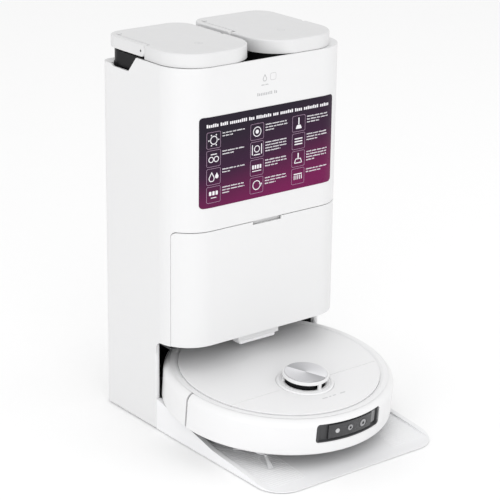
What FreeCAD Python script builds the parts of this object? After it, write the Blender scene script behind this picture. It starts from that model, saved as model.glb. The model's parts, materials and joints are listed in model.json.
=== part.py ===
"""Robot vacuum docked in its self-cleaning station, millimetres, +Z up.

Origin: on the floor, under the middle of the whole docked set.  The station's
front faces -Y.  The robot is drawn level in its own frame (origin on the floor
under its centre, front towards -Y) and is then set down, nose low, on the ramp.
"""
import FreeCAD, Part
import math
import os

V = FreeCAD.Vector
PARTS = {}

# ---- driving dimensions: station -------------------------------------------
STATION_W = 318.0          # overall width of the station
STATION_D = 430.0          # ramp lip to back wall
FRONT_SETBACK = 228.0      # ramp lip to the front of the tall body
WALL_TOP = 568.0           # top edge of the front and side walls
BACK_TOP = WALL_TOP - 20.0 # top edge of the back wall
BODY_BOTTOM = 144.0        # underside of the body over the robot
DOOR_TOP = 324.5           # seam above the dust door
WALL = 3.0                 # outer wall thickness
FRONT_R = 56.0             # plan radius of the two front corners
BACK_R = 15.0              # plan radius of the two back corners
FIT = 0.3                  # gap between neighbouring still pieces
DOOR_GAP = 0.8             # seam round the dust door
FOOT_H = 1.0               # how far the rubber feet stand out
NOSE_T = 8.0               # thickness of the side wall's rounded front edge
NOSE_Y = 76.0              # where the side walls start beside the robot
SCOOP_Z = WALL_TOP - 23.5  # floor of the finger scoop in each side wall
SCOOP_Y = (118.0, 182.0)   # front and back ends of the finger scoop
LABEL_W = 248.0            # width of the printed feature label
LABEL_Z = (WALL_TOP - 208.0, WALL_TOP - 72.0)    # bottom and top of the label
LABEL_T = 0.4              # label thickness
COVER_X = 128.0            # half the width of the rear cover
COVER_SPAN = (150.0, WALL_TOP - 68.0)    # bottom and top of the rear cover
COVER_LIP = 2.5            # thickness of the rear cover's inner flange
INLET_X = 104.0            # mains inlet, sideways
INLET_Z = 76.0             # mains inlet, height
INLET_W = 34.0             # mains inlet width
INLET_H = 26.0             # mains inlet height
SCREW_R = 1.5              # screw shank radius
HEAD_R = 3.0               # screw head radius
HEAD_T = 1.6               # screw head thickness
NOTCH_W = 54.0             # width of the finger notch over the door
NOTCH_H = 5.0              # height of the finger notch
LEDGE_T = 6.0              # thickness of the ledges beside and behind the tanks
BEACON_X = 39.0            # half the width of the beacon

# ---- driving dimensions: tanks ---------------------------------------------
TANK_GAP = 12.0            # gap between the two tanks
TANK_INSET = 3.5           # lid edge to the wall's outer face
TANK_SHIFT = -6.0          # both tanks stand this far off the middle
LID_FRONT_R = 55.0         # plan radius of the lids' front corners
LID_BACK_R = 30.0          # plan radius of the lids' back corners
TANK_WALL = 2.5            # tank wall thickness
TANK_BACK = 7.0            # tank body to the back of its lid
LID_TOP = WALL_TOP + 21.0  # top of the lids
LID_GAP = 1.0              # lid to the tank rim below it
LID_SLIT = 0.4             # bail handle to the lid inside it
HANDLE_W = 9.0             # width of the bail handle's bar
HANDLE_Y = 116.0           # bail handle pivot, front to back
DECK_T = 3.0               # thickness of the shelf the tanks stand on
BODY_INSET = 3.5           # lid edge to the tank body's side

# ---- driving dimensions: dust bay -------------------------------------------
BAY_X = 126.5              # half the width of the dust bay
BAY_BACK = 112.0           # back wall of the dust bay
PIN_R = 1.5                # door hinge pin radius
EAR_R = 3.0                # radius of the hinge lugs
EARS = (-100.0, 100.0)     # the two hinges, sideways

# ---- driving dimensions: base ----------------------------------------------
RAMP_DEG = 5.5             # slope of the ramp
LIP_T = 2.6                # top of the ramp's front lip above the floor
LIP_L = 19.0               # length of the flat lip
TRAY_R = 42.0              # plan radius of the tray's front corners
RAIL_W = 8.0               # width of each side rail
RAIL_TOP = 49.0            # rail height where it meets the side wall
RAIL_MID = (-65.0, 18.0)   # place and height of the rail's bend
WASH_Y = 44.0              # front edge of the wash tray
WASH_X = 142.0             # half the width of the wash tray's well
FOOT_R = 10.0              # rubber foot radius
FEET = [(x, y) for x in (-125.0, 125.0) for y in (-160.0, 20.0, 185.0)]

# ---- driving dimensions: robot ---------------------------------------------
ROBOT_R = 175.0            # robot radius
ROBOT_H = 79.0             # floor to the top cover
ROBOT_Y = -13.8            # robot centre on the ramp
ROBOT_Z = 20.4             # lift of its wheel plane there
COVER_R = 153.0            # radius of the top cover
SKIN = 3.0                 # robot outer wall
BUMPER_Z = 22.0            # underside of bumper and shell
BUMPER_TRAVEL = 3.0        # how far the bumper moves in
COVER_SEAM = -64.0         # cross seam between cover and front panel
TURRET_Y = -62.0           # turret centre
TURRET_R = 43.5            # turret base radius
CAP_R = 35.0               # turret cap radius
CAP_TOP = 94.8             # top of the turret cap
WINDOW_W = 120.0           # sensor window width
WINDOW_Z = (41.0, 70.5)    # sensor window bottom and top
WHEEL_R = 33.0             # drive wheel radius
WHEEL_X = 112.0            # drive wheel middle
WHEEL_W = 18.0             # drive wheel width
GROUND = 0.3               # running pieces stay this far off the ground
PIN_FIT = 0.05             # radial clearance of a pin in its bore
CASTER_Y = -124.0          # caster swivel
BRUSH_Y = -56.0            # main brush axis
BRUSH_R = 15.5             # main brush radius
BRUSH_L = 140.0            # main brush length
SIDE_BRUSH = (-101.0, -96.0)   # side brush hub
MOP_X = 63.0               # mop centre, sideways
MOP_Y = 108.0              # mop centre, front to back
MOP_R = 57.0               # mop pad radius
MOP_Z = 3.6                # underside of the lifted mop pads
BUMPER_END = -6.0          # where the bumper's two ends stop beside the robot
PAN_R = 146.0              # radius of the raised bottom pan
PAN_Z = 11.0               # underside of the pan
DECK_LOW = 69.5            # underside of the robot's inner deck
DECK_HIGH = 72.0           # top of the robot's inner deck
BUTTON_R = 6.0             # push button radius
BUTTON_X = (-95.0, -75.0)  # the two buttons, sideways
BUTTON_Y = -30.0           # the two buttons, front to back
SPIN_R = 29.5              # radius of the turning sensor drum
POSTS = 3                  # posts that carry the turret cap
POST_W = 5.6               # width of a post
TUFT_L = 44.0              # length of the side brush's arms

# ---- derived places ---------------------------------------------------------
HALF_W = STATION_W / 2
Y_LIP = -STATION_D / 2
Y_BACK = STATION_D / 2
Y_FRONT = Y_LIP + FRONT_SETBACK
INNER_W = HALF_W - WALL
DOOR_EDGE = Y_FRONT + 33.0             # back edge of the door on the corner
PIVOT_Y = Y_FRONT + WALL + 4.0         # dust door hinge line
PIVOT_Z = BODY_BOTTOM + 4.0
DECK_Z = DOOR_TOP + 2.5
TANK_FLOOR = DECK_Z + DECK_T + 1.0
RIM_Z = WALL_TOP - 0.5                 # top of the tank body
TANK_X0 = TANK_GAP / 2
TANK_X1 = HALF_W - TANK_INSET + TANK_SHIFT
TANK_Y0 = Y_FRONT + 2.0
TANK_Y1 = Y_BACK - 1.5
HANDLE_Z0 = RIM_Z + 3.0
HANDLE_Z1 = LID_TOP - 0.4
HANDLE_ZC = (HANDLE_Z0 + HANDLE_Z1) / 2
HANDLE_R = (HANDLE_Z1 - HANDLE_Z0) / 2
CEILING = BODY_BOTTOM - 6.0            # ceiling of the robot's bay
LINER_X = 150.5                        # inner face of the bay's side lining
LINER_BACK = Y_BACK - 45.0             # inner face of the bay's back lining
SLOPE = math.tan(math.radians(RAMP_DEG))
COVER_T = 3.0
COVER_Z = ROBOT_H - COVER_T
WHEEL_Z = WHEEL_R + GROUND
ARM_Y = 46.0
ARM_Z = 40.0
BAY_TOP = DOOR_TOP - 9.0
SHELL_START = BUMPER_END + BUMPER_TRAVEL + 0.8
PAN_TOP = BUMPER_Z


def add(name, shape):
    """Keep one sub-part under its node name."""
    PARTS[name] = shape


def box(x0, x1, y0, y1, z0, z1):
    return Part.makeBox(x1 - x0, y1 - y0, z1 - z0, V(x0, y0, z0))


def rod(radius, start, direction, length):
    return Part.makeCylinder(radius, length, V(*start), V(*direction))


def disc(radius, z0, z1, x=0.0, y=0.0):
    return Part.makeCylinder(radius, z1 - z0, V(x, y, z0))


def ring(r_in, r_out, z0, z1, x=0.0, y=0.0):
    return disc(r_out, z0, z1, x, y).cut(disc(r_in, z0 - 1, z1 + 1, x, y))


def turned(points):
    """Solid of revolution about Z from an outline of (radius, height)."""
    wire = Part.makePolygon([V(r, 0, z) for r, z in points + points[:1]])
    return Part.Face(wire).revolve(V(0, 0, 0), V(0, 0, 1), 360)


def profile_x(points, x0, x1):
    """Prism along X from an outline of (y, z)."""
    wire = Part.makePolygon([V(x0, y, z) for y, z in points + points[:1]])
    return Part.Face(wire).extrude(V(x1 - x0, 0, 0))


def round_edges(solid, direction, radius, test):
    """Fillet the straight edges that run along a direction and pass a test."""
    chosen = []
    for edge in solid.Edges:
        if len(edge.Vertexes) != 2:
            continue
        a = edge.Vertexes[0].Point
        b = edge.Vertexes[1].Point
        run = (b - a).normalize()
        middle = (a + b) * 0.5
        if abs(abs(run.dot(V(*direction))) - 1) < 1e-6 and test(middle):
            chosen.append(edge)
    return solid.makeFillet(radius, chosen)


def block(x0, x1, y0, y1, z0, z1, r_front, r_back):
    """Box whose upright corners are rounded, with two radii."""
    solid = box(x0, x1, y0, y1, z0, z1)
    middle = (y0 + y1) / 2
    if r_front:
        solid = round_edges(solid, (0, 0, 1), r_front, lambda p: p.y < middle)
    if r_back:
        solid = round_edges(solid, (0, 0, 1), r_back, lambda p: p.y > middle)
    return solid


def window_block(x0, x1, y0, y1, z0, z1, radius):
    """Box with its four edges along Y rounded."""
    return round_edges(box(x0, x1, y0, y1, z0, z1), (0, 1, 0), radius, lambda p: True)


def both_sides(shape):
    """A shape and its mirror image across the middle plane."""
    return shape.fuse(shape.mirror(V(0, 0, 0), V(1, 0, 0)))


def fuse_all(shapes):
    solid = shapes[0]
    for shape in shapes[1:]:
        solid = solid.fuse(shape)
    return solid.removeSplitter()


def ramp_z(y):
    """Height of the ramp surface, just under the robot's wheels."""
    return ROBOT_Z - GROUND + (y - ROBOT_Y) * SLOPE


def body_shell(inset, z0, z1):
    """Solid of the tall body's plan outline, moved in by an inset."""
    return block(-HALF_W + inset, HALF_W - inset, Y_FRONT + inset, Y_BACK - inset, z0, z1,
                 FRONT_R - inset, BACK_R - inset)


# ---- station ------------------------------------------------------------------
def scoop_cut():
    """Finger scoop in the top edge of both side walls."""
    front, back = SCOOP_Y
    outline = [(front, WALL_TOP + 5), (front + 5, WALL_TOP), (front + 25, SCOOP_Z), (back, SCOOP_Z),
               (back + 5, BACK_TOP - 1), (back + 9, BACK_TOP), (Y_BACK + 5, BACK_TOP),
               (Y_BACK + 5, WALL_TOP + 5)]
    return profile_x(outline, -HALF_W - 5, HALF_W + 5)


def door_region(edge_y, top_z, bottom_z, corner):
    """Space of the dust door: everything in front of an edge and under a seam."""
    solid = box(-HALF_W - 5, HALF_W + 5, Y_FRONT - 5, edge_y, bottom_z, top_z)
    return round_edges(solid, (1, 0, 0), corner, lambda p: p.y > Y_FRONT and p.z > (top_z + bottom_z) / 2)


def make_housing():
    shell = body_shell(0, 2.0, WALL_TOP).cut(body_shell(WALL, 1.0, WALL_TOP + 1))
    side_ledge = body_shell(1.0, WALL_TOP - LEDGE_T, WALL_TOP)
    side_ledge = side_ledge.common(box(100, HALF_W, Y_FRONT, Y_BACK, 0, WALL_TOP))
    side_ledge = side_ledge.cut(moved(tank_block(0.5, 0, WALL_TOP + 9)))
    back_ledge = body_shell(1.0, BACK_TOP - LEDGE_T, BACK_TOP)
    back_ledge = back_ledge.common(box(-HALF_W, HALF_W, SCOOP_Y[1] + 10, Y_BACK, 0, BACK_TOP))
    wells = both_sides(tank_block(BODY_INSET - 1.5, 0, BACK_TOP + 9, TANK_BACK - BODY_INSET))
    back_ledge = back_ledge.cut(moved(wells)).cut(box(-60, 40, Y_FRONT, Y_BACK - 5, 0, WALL_TOP))
    shell = shell.fuse(side_ledge).fuse(back_ledge).cut(scoop_cut())
    shell = shell.cut(door_region(DOOR_EDGE, DOOR_TOP, BODY_BOTTOM, 9.0))
    bay = box(-HALF_W - 5, HALF_W + 5, Y_FRONT - 5, NOSE_Y, 0, BODY_BOTTOM)
    bay = round_edges(bay, (1, 0, 0), 12.0, lambda p: p.y > NOSE_Y - 1 and p.z > 100)
    shell = shell.cut(bay)
    nose_x = HALF_W - NOSE_T
    nose = box(nose_x, HALF_W - 0.5, NOSE_Y + NOSE_T / 2, NOSE_Y + 9, 2.0, CEILING - FIT)
    nose = nose.fuse(disc(NOSE_T / 2, 2.0, CEILING - FIT, HALF_W - NOSE_T / 2, NOSE_Y + NOSE_T / 2))
    shell = shell.cut(both_sides(box(HALF_W - 4.2, HALF_W + 1, NOSE_Y - 1, NOSE_Y + 4, 1, CEILING - 14)))
    shell = shell.fuse(both_sides(nose))
    shell = shell.cut(window_block(-COVER_X, COVER_X, Y_BACK - 8, Y_BACK + 5, *COVER_SPAN, 8.0))
    inlet = window_block(INLET_X - INLET_W / 2 - FIT, INLET_X + INLET_W / 2 + FIT, Y_BACK - 8,
                         Y_BACK + 5, INLET_Z - INLET_H / 2 - FIT, INLET_Z + INLET_H / 2 + FIT, 4.0)
    shell = shell.cut(inlet)
    add("station_housing", shell.removeSplitter())


def cover_screw_places():
    xs = (-COVER_X + 10, 0.0, COVER_X - 10)
    zs = (COVER_SPAN[0] + 10, COVER_SPAN[1] - 10)
    return [(x, z) for x in xs for z in zs]


def make_rear_cover():
    z0, z1 = COVER_SPAN
    plate = window_block(-COVER_X + FIT, COVER_X - FIT, Y_BACK - WALL, Y_BACK, z0 + FIT, z1 - FIT, 7.7)
    flange = window_block(-COVER_X - 8, COVER_X + 8, Y_BACK - WALL - COVER_LIP, Y_BACK - WALL,
                          z0 - 8, z1 + 8, 14.0)
    cover = plate.fuse(flange)
    for row in range(9):
        z = z0 + 70 + row * 9.0
        cover = cover.cut(box(-70, -12, Y_BACK - 10, Y_BACK + 5, z, z + 4))
        cover = cover.cut(box(12, 70, Y_BACK - 10, Y_BACK + 5, z, z + 4))
    for x, z in cover_screw_places():
        cover = cover.cut(rod(HEAD_R + 0.2, (x, Y_BACK - HEAD_T - 0.1, z), (0, 1, 0), 5))
        cover = cover.cut(rod(SCREW_R + 0.1, (x, Y_BACK - 10, z), (0, 1, 0), 15))
    add("rear_cover", cover.removeSplitter())


def base_screw_places():
    return [(x, y) for x in (-120.0, 120.0) for y in (100.0, 196.0)]


def make_screws():
    screws = []
    for x, z in cover_screw_places():
        head = rod(HEAD_R, (x, Y_BACK - HEAD_T, z), (0, 1, 0), HEAD_T - 0.2)
        screws.append(head.fuse(rod(SCREW_R, (x, Y_BACK - 8, z), (0, 1, 0), 7)).removeSplitter())
    for x, y in base_screw_places():
        head = disc(HEAD_R, FOOT_H + 0.4, FOOT_H + 2.0, x, y)
        screws.append(head.fuse(disc(SCREW_R, FOOT_H + 1.8, FOOT_H + 9.0, x, y)).removeSplitter())
    add("station_screws", Part.makeCompound(screws))


def make_base_tray():
    z0 = FOOT_H
    wide = block(-HALF_W, HALF_W, Y_LIP, NOSE_Y - FIT, z0, RAIL_TOP + 20, TRAY_R, 0)
    rear = box(-INNER_W + FIT, INNER_W - FIT, NOSE_Y - 1, Y_BACK - WALL - FIT, z0, 24.0)
    rear = round_edges(rear, (0, 0, 1), BACK_R - WALL - FIT, lambda p: p.y > 100)
    rear = rear.cut(both_sides(box(HALF_W - NOSE_T - FIT, HALF_W, NOSE_Y - FIT, NOSE_Y + 10, z0 - 1, 60)))
    lip_y = Y_LIP + LIP_L
    y_top = WASH_Y
    deck = [(Y_LIP - 1, z0), (Y_LIP - 1, LIP_T - 0.4), (lip_y, LIP_T), (ROBOT_Y, ramp_z(ROBOT_Y)),
            (y_top, ramp_z(y_top)), (y_top, 18.0), (NOSE_Y, 18.0), (NOSE_Y, z0)]
    ramp = profile_x(deck, -HALF_W, HALF_W)
    rail_slope = (RAIL_TOP - RAIL_MID[1]) / (NOSE_Y - 10 - RAIL_MID[0])
    rail = [(lip_y, z0), (lip_y, LIP_T), (Y_LIP + 51, 8.0), RAIL_MID, (NOSE_Y - 10, RAIL_TOP),
            (NOSE_Y, RAIL_TOP + 5 * rail_slope), (NOSE_Y, z0)]
    rails = both_sides(profile_x(rail, HALF_W - RAIL_W, HALF_W))
    tray = wide.common(ramp.fuse(rails)).fuse(rear)
    wash = box(-WASH_X, WASH_X, WASH_Y, Y_BACK - 8, 14.0, 60)
    tray = tray.cut(wash)
    for x, y in base_screw_places():
        tray = tray.cut(disc(HEAD_R + 0.3, 0, FOOT_H + 2.3, x, y)).cut(disc(SCREW_R + 0.1, 0, 12, x, y))
    add("base_tray", tray.removeSplitter())
    add("rubber_feet", Part.makeCompound([disc(FOOT_R, 0, FOOT_H, x, y) for x, y in FEET]))


def make_wash_tray():
    """Lift-out tray under the mops, with scrubbing ribs and a sump."""
    x1 = WASH_X - 1.0
    y0 = WASH_Y + FIT + 0.7
    y1 = Y_BACK - 9.0
    top = [(y0, 14.5), (y0, ramp_z(y0) - 1), (y1, ramp_z(y1) - 1), (y1, 14.5)]
    tray = profile_x(top, -x1, x1)
    floor = [(y0 + 6, 20.0), (y0 + 6, 60.0), (y1 - 6, 60.0), (y1 - 6, 20.0)]
    tray = tray.cut(profile_x(floor, -x1 + 5, x1 - 5))
    ribs = []
    for side in (-1, 1):
        cx = side * MOP_X
        cy = ROBOT_Y + MOP_Y
        for turn in range(6):
            bar = box(cx + 12, cx + MOP_R - 8, cy - 1.5, cy + 1.5, 19.5, ramp_z(cy - MOP_R) - 0.5)
            bar.rotate(V(cx, cy, 0), V(0, 0, 1), 30 + 60 * turn)
            ribs.append(bar)
    add("wash_tray", fuse_all([tray] + ribs))


def make_liner():
    """Dark lining of the robot's bay: two sides, back and ceiling."""
    outer = box(-LINER_X - 1.5, LINER_X + 1.5, NOSE_Y + 10, LINER_BACK + 2, 48.0, CEILING)
    inner = box(-LINER_X, LINER_X, NOSE_Y, LINER_BACK, 40, CEILING - 3)
    walls = outer.cut(inner)
    front = box(-LINER_X + 2, LINER_X - 2, Y_FRONT + 40, NOSE_Y + 12, CEILING - 3, CEILING)
    add("dock_liner", walls.fuse(front).removeSplitter())
    pads = []
    for x in (-30.0, 30.0):
        base = box(x - 9, x + 9, LINER_BACK - 3, LINER_BACK, 68, 90)
        blade = box(x - 6, x + 6, ROBOT_Y + ROBOT_R - 3.5, LINER_BACK - 2, 74, 84)
        pads.append(base.fuse(blade).removeSplitter())
    add("charging_contacts", Part.makeCompound(pads))


def make_tank_deck():
    deck = body_shell(WALL + FIT, DECK_Z, DECK_Z + DECK_T)
    deck = deck.cut(box(-HALF_W, HALF_W, Y_BACK - WALL - COVER_LIP - FIT, Y_BACK, DECK_Z - 1, DECK_Z + 9))
    rib = box(TANK_SHIFT - 2, TANK_SHIFT + 2, Y_FRONT + 6, Y_BACK - 12, DECK_Z + 1, BACK_TOP - 30)
    for x in (-80.0, 80.0):
        deck = deck.cut(disc(9.0, DECK_Z - 1, DECK_Z + 10, x, 185))
    add("tank_deck", deck.fuse(rib).removeSplitter())


def make_bay_frame():
    """Open-fronted box that holds the dust bag behind the door."""
    y0 = Y_FRONT + WALL + 8
    shell = box(-BAY_X, BAY_X, y0, BAY_BACK, BODY_BOTTOM + 1, BAY_TOP)
    shell = shell.cut(box(-BAY_X + 2.5, BAY_X - 2.5, y0 - 1, BAY_BACK - 2.5, BODY_BOTTOM + 3.5, BAY_TOP - 2.5))
    flange = box(-BAY_X, BAY_X, y0, y0 + 2.5, BAY_TOP - 2.5, DOOR_TOP + 1.5)
    frame = shell.fuse(flange)
    for x in EARS:
        ear = box(x - 8, x - 3, PIVOT_Y, y0 + 1, PIVOT_Z - EAR_R, PIVOT_Z + EAR_R)
        ear = ear.fuse(rod(EAR_R, (x - 8, PIVOT_Y, PIVOT_Z), (1, 0, 0), 5))
        frame = frame.fuse(ear)
        frame = frame.cut(rod(PIN_R + PIN_FIT, (x - 9, PIVOT_Y, PIVOT_Z), (1, 0, 0), 7))
    frame = frame.cut(rod(17.0, (-102, BAY_BACK - 5, 270), (0, 1, 0), 10))
    add("bay_frame", frame.removeSplitter())
    pins = [rod(PIN_R, (x - 8, PIVOT_Y, PIVOT_Z), (1, 0, 0), 14) for x in EARS]
    add("door_pins", Part.makeCompound(pins))


def make_door():
    top = DOOR_TOP - 1.2
    skin = body_shell(0, 100, 400).cut(body_shell(WALL, 99, 401))
    door = skin.common(door_region(DOOR_EDGE - DOOR_GAP, top, BODY_BOTTOM + 0.5, 8.5))
    door = door.cut(box(-NOTCH_W / 2, NOTCH_W / 2, Y_FRONT - 5, Y_FRONT + 10, top - NOTCH_H, top + 5))
    for x in EARS:
        lug = box(x - 2, x + 6, Y_FRONT + WALL - 0.5, PIVOT_Y, PIVOT_Z - EAR_R, PIVOT_Z + EAR_R)
        lug = lug.fuse(rod(EAR_R, (x - 2, PIVOT_Y, PIVOT_Z), (1, 0, 0), 8))
        door = door.fuse(lug).cut(rod(PIN_R + PIN_FIT, (x - 3, PIVOT_Y, PIVOT_Z), (1, 0, 0), 10))
    add("dust_door", door.removeSplitter())


def make_dust_path():
    bag = block(-118, 118, Y_FRONT + 26, BAY_BACK - 14, 165, 300, 14, 14)
    add("dust_bag", bag)
    holder = box(-123, -70, BAY_BACK - 13, BAY_BACK - 3, 240, 304)
    holder = holder.cut(rod(15.0, (-102, BAY_BACK - 20, 270), (0, 1, 0), 25))
    add("bag_holder", holder)
    duct = box(-122, -82, BAY_BACK + 1, BAY_BACK + 34, CEILING + 1, 290)
    duct = duct.cut(box(-119.5, -84.5, BAY_BACK + 3.5, BAY_BACK + 31.5, CEILING, 287.5))
    duct = duct.cut(rod(15.0, (-102, BAY_BACK - 5, 270), (0, 1, 0), 10))
    add("dust_duct", duct)
    motor = disc(42.0, 165, 250, 70, 162).fuse(disc(30.0, 250, 285, 70, 162))
    add("suction_motor", motor.removeSplitter())


def make_water_path():
    pumps = {"clean_pump": 8.0, "dirty_pump": -52.0}
    hoses = []
    for name, x in pumps.items():
        head = disc(13.0, 292, 312, x, 190)
        add(name, box(x - 16, x + 16, 174, 206, 258, 292).fuse(head).removeSplitter())
        side = 80.0 if x > 0 else -80.0
        barb = disc(4.0, 316.0, DECK_Z - 0.3, side, 185)
        run = box(min(x, side) - 4, max(x, side) + 4, 181, 189, 314.0, 321.0)
        hoses.append(run.fuse(barb).removeSplitter())
    add("water_hoses", Part.makeCompound(hoses))
    add("power_supply", box(-70, 24, 186, 206, 155, 240))
    inlet = window_block(INLET_X - INLET_W / 2, INLET_X + INLET_W / 2, Y_BACK - 24, Y_BACK - 1,
                         INLET_Z - INLET_H / 2, INLET_Z + INLET_H / 2, 3.7)
    well = window_block(INLET_X - 12, INLET_X + 12, Y_BACK - 18, Y_BACK + 1, INLET_Z - 8, INLET_Z + 8, 5.0)
    inlet = inlet.cut(well)
    for dx in (-4.5, 4.5):
        inlet = inlet.fuse(rod(1.2, (INLET_X + dx, Y_BACK - 19, INLET_Z), (0, 1, 0), 12))
    add("mains_inlet", inlet.removeSplitter())


def make_beacon():
    half = BEACON_X
    y0 = Y_FRONT + 15.0
    body = box(-half, half, y0, y0 + 18, BODY_BOTTOM - 14.5, BODY_BOTTOM - 0.5)
    body = round_edges(body, (0, 0, 1), 3.0, lambda p: True)
    add("beacon_housing", body)
    lens = box(-half + 5, half - 5, y0 + 3, y0 + 24, BODY_BOTTOM - 21, BODY_BOTTOM - 14.8)
    add("beacon_lens", round_edges(lens, (0, 0, 1), 3.0, lambda p: True))


def make_label():
    sheet = body_shell(-LABEL_T, 300, 550).cut(body_shell(0, 299, 551))
    area = window_block(-LABEL_W / 2, LABEL_W / 2, Y_FRONT - 5, Y_FRONT + 30, *LABEL_Z, 6.0)
    add("feature_label", sheet.common(area))


# ---- tanks ------------------------------------------------------------------
def tank_block(inset, z0, z1, back=0.0):
    return block(TANK_X0 + inset, TANK_X1 - inset, TANK_Y0 + inset, TANK_Y1 - inset - back, z0, z1,
                 LID_FRONT_R - inset, LID_BACK_R - inset)


def moved(shape):
    """Move a tank piece from the middle frame to where the tanks stand."""
    placed = shape.copy()
    placed.translate(V(TANK_SHIFT, 0, 0))
    return placed


def handle_pivots():
    return ((TANK_X0, 1), (TANK_X1, -1))


def make_tank_body():
    back = TANK_BACK - BODY_INSET
    body = tank_block(BODY_INSET, TANK_FLOOR, RIM_Z, back)
    body = body.cut(tank_block(BODY_INSET + TANK_WALL, TANK_FLOOR + TANK_WALL, RIM_Z + 5, back))
    for x, inward in handle_pivots():
        near = x + inward * (HANDLE_W + 0.5)
        far = near + inward * 4.0
        ear = box(min(near, far), max(near, far), HANDLE_Y - 6, HANDLE_Y + 6, RIM_Z - 12, HANDLE_ZC)
        ear = ear.fuse(rod(6.0, (min(near, far), HANDLE_Y, HANDLE_ZC), (1, 0, 0), 4.0))
        brace = box(min(x + inward * BODY_INSET, far), max(x + inward * BODY_INSET, far), HANDLE_Y - 6, HANDLE_Y + 6,
                    RIM_Z - 12, RIM_Z - 4)
        body = body.fuse(ear).fuse(brace)
        body = body.cut(rod(2.4 + PIN_FIT, (min(near, far) - 1, HANDLE_Y, HANDLE_ZC), (1, 0, 0), 6))
    return body.removeSplitter()


def make_tank_lid():
    z0 = RIM_Z + LID_GAP
    lid = tank_block(0, z0, LID_TOP)
    edge = HANDLE_W + LID_SLIT
    front = lid.common(box(0, 400, TANK_Y0 - 5, HANDLE_Y - HANDLE_R - 0.5, 0, 900))
    rear = tank_block(edge, z0, LID_TOP).common(box(0, 400, HANDLE_Y - HANDLE_R - 1, 400, 0, 900))
    lid = front.fuse(rear).removeSplitter()
    top_edges = [e for e in lid.Edges if abs(e.BoundBox.ZMin - LID_TOP) < 1e-6]
    outer = [e for e in top_edges if e.BoundBox.YMax < HANDLE_Y - HANDLE_R - 0.2]
    lid = lid.makeFillet(2.5, outer)
    lid = lid.cut(tank_block(edge + 2, z0 - 1, LID_TOP - 4))
    for x, inward in handle_pivots():
        near = x + inward * (HANDLE_W - 1)
        far = x + inward * (HANDLE_W + 5.0)
        lid = lid.cut(box(min(near, far), max(near, far), HANDLE_Y - 7, HANDLE_Y + 7, z0 - 1,
                          HANDLE_ZC + 7))
    return lid.removeSplitter()


def make_tank_handle():
    bar = tank_block(0, HANDLE_Z0, HANDLE_Z1).cut(tank_block(HANDLE_W, HANDLE_Z0 - 1, HANDLE_Z1 + 1))
    bar = bar.common(box(0, 400, HANDLE_Y, 400, 0, 900))
    for x, inward in handle_pivots():
        low = min(x, x + inward * HANDLE_W)
        bar = bar.fuse(rod(HANDLE_R, (low, HANDLE_Y, HANDLE_ZC), (1, 0, 0), HANDLE_W))
        stud = x + inward * (HANDLE_W - 1)
        bar = bar.fuse(rod(2.4, (min(stud, stud + inward * 5), HANDLE_Y, HANDLE_ZC), (1, 0, 0), 5))
    return bar.removeSplitter()


def make_tanks():
    makers = {"tank": make_tank_body, "tank_lid": make_tank_lid, "tank_handle": make_tank_handle}
    for suffix, maker in makers.items():
        right = maker()
        add("clean_" + suffix, moved(right))
        add("dirty_" + suffix, moved(right.mirror(V(0, 0, 0), V(1, 0, 0))))


# ---- robot ------------------------------------------------------------------
def docked(shape):
    """Move a robot piece from its own level frame onto the ramp."""
    placed = shape.copy()
    placed.rotate(V(0, 0, 0), V(1, 0, 0), RAMP_DEG)
    placed.translate(V(0, ROBOT_Y, ROBOT_Z))
    return placed


def add_robot(name, shape):
    add(name, docked(shape))


def half_space(y0, y1):
    return box(-400, 400, y0, y1, -50, 200)


def make_chassis():
    outer = turned([(0, PAN_Z), (PAN_R, PAN_Z), (PAN_R + 4, PAN_TOP - 2), (ROBOT_R - 10, PAN_TOP),
                    (ROBOT_R - 10, PAN_TOP + 2.5), (0, PAN_TOP + 2.5)])
    inner = turned([(0, PAN_Z + 3), (PAN_R - 3, PAN_Z + 3), (PAN_R + 1, PAN_TOP - 1),
                    (PAN_R + 1, PAN_TOP + 4), (0, PAN_TOP + 4)])
    pan = outer.cut(inner)
    well_y = WHEEL_R + 4
    pan = pan.cut(both_sides(box(WHEEL_X - WHEEL_W / 2 - 3, WHEEL_X + WHEEL_W / 2 + 3, -well_y, well_y, 0, 50)))
    pan = pan.cut(box(-BRUSH_L / 2 - 6, BRUSH_L / 2 + 6, BRUSH_Y - 20, BRUSH_Y + 20, 0, 60))
    pan = pan.cut(disc(18.5, 0, 60, 0, CASTER_Y))
    pan = pan.cut(disc(6.0, 0, 60, *SIDE_BRUSH))
    pan = pan.cut(disc(9.0, 0, 60, MOP_X, MOP_Y)).cut(disc(9.0, 0, 60, -MOP_X, MOP_Y))
    lug_x = WHEEL_X - WHEEL_W / 2 - 25
    lug = box(lug_x - 5, lug_x, ARM_Y - 5, ARM_Y + 5, PAN_Z + 2, ARM_Z)
    lug = lug.fuse(rod(5.0, (lug_x - 5, ARM_Y, ARM_Z), (1, 0, 0), 5))
    lug = lug.fuse(rod(2.5, (lug_x - 1, ARM_Y, ARM_Z), (1, 0, 0), 12))
    pan = pan.fuse(both_sides(lug))
    for end in (-1, 1):
        post_x = end * (BRUSH_L / 2 + 6)
        x0 = min(post_x, post_x + end * 3)
        post = box(x0, x0 + 3, BRUSH_Y - 8, BRUSH_Y + 8, PAN_Z + 1, PAN_Z + 16)
        pan = pan.fuse(post)
        inward = post_x - end * 7
        pan = pan.fuse(rod(2.0, (min(inward, post_x + end), BRUSH_Y, BRUSH_R + 2), (1, 0, 0), 8))
    add_robot("robot_chassis", pan.removeSplitter())


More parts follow.
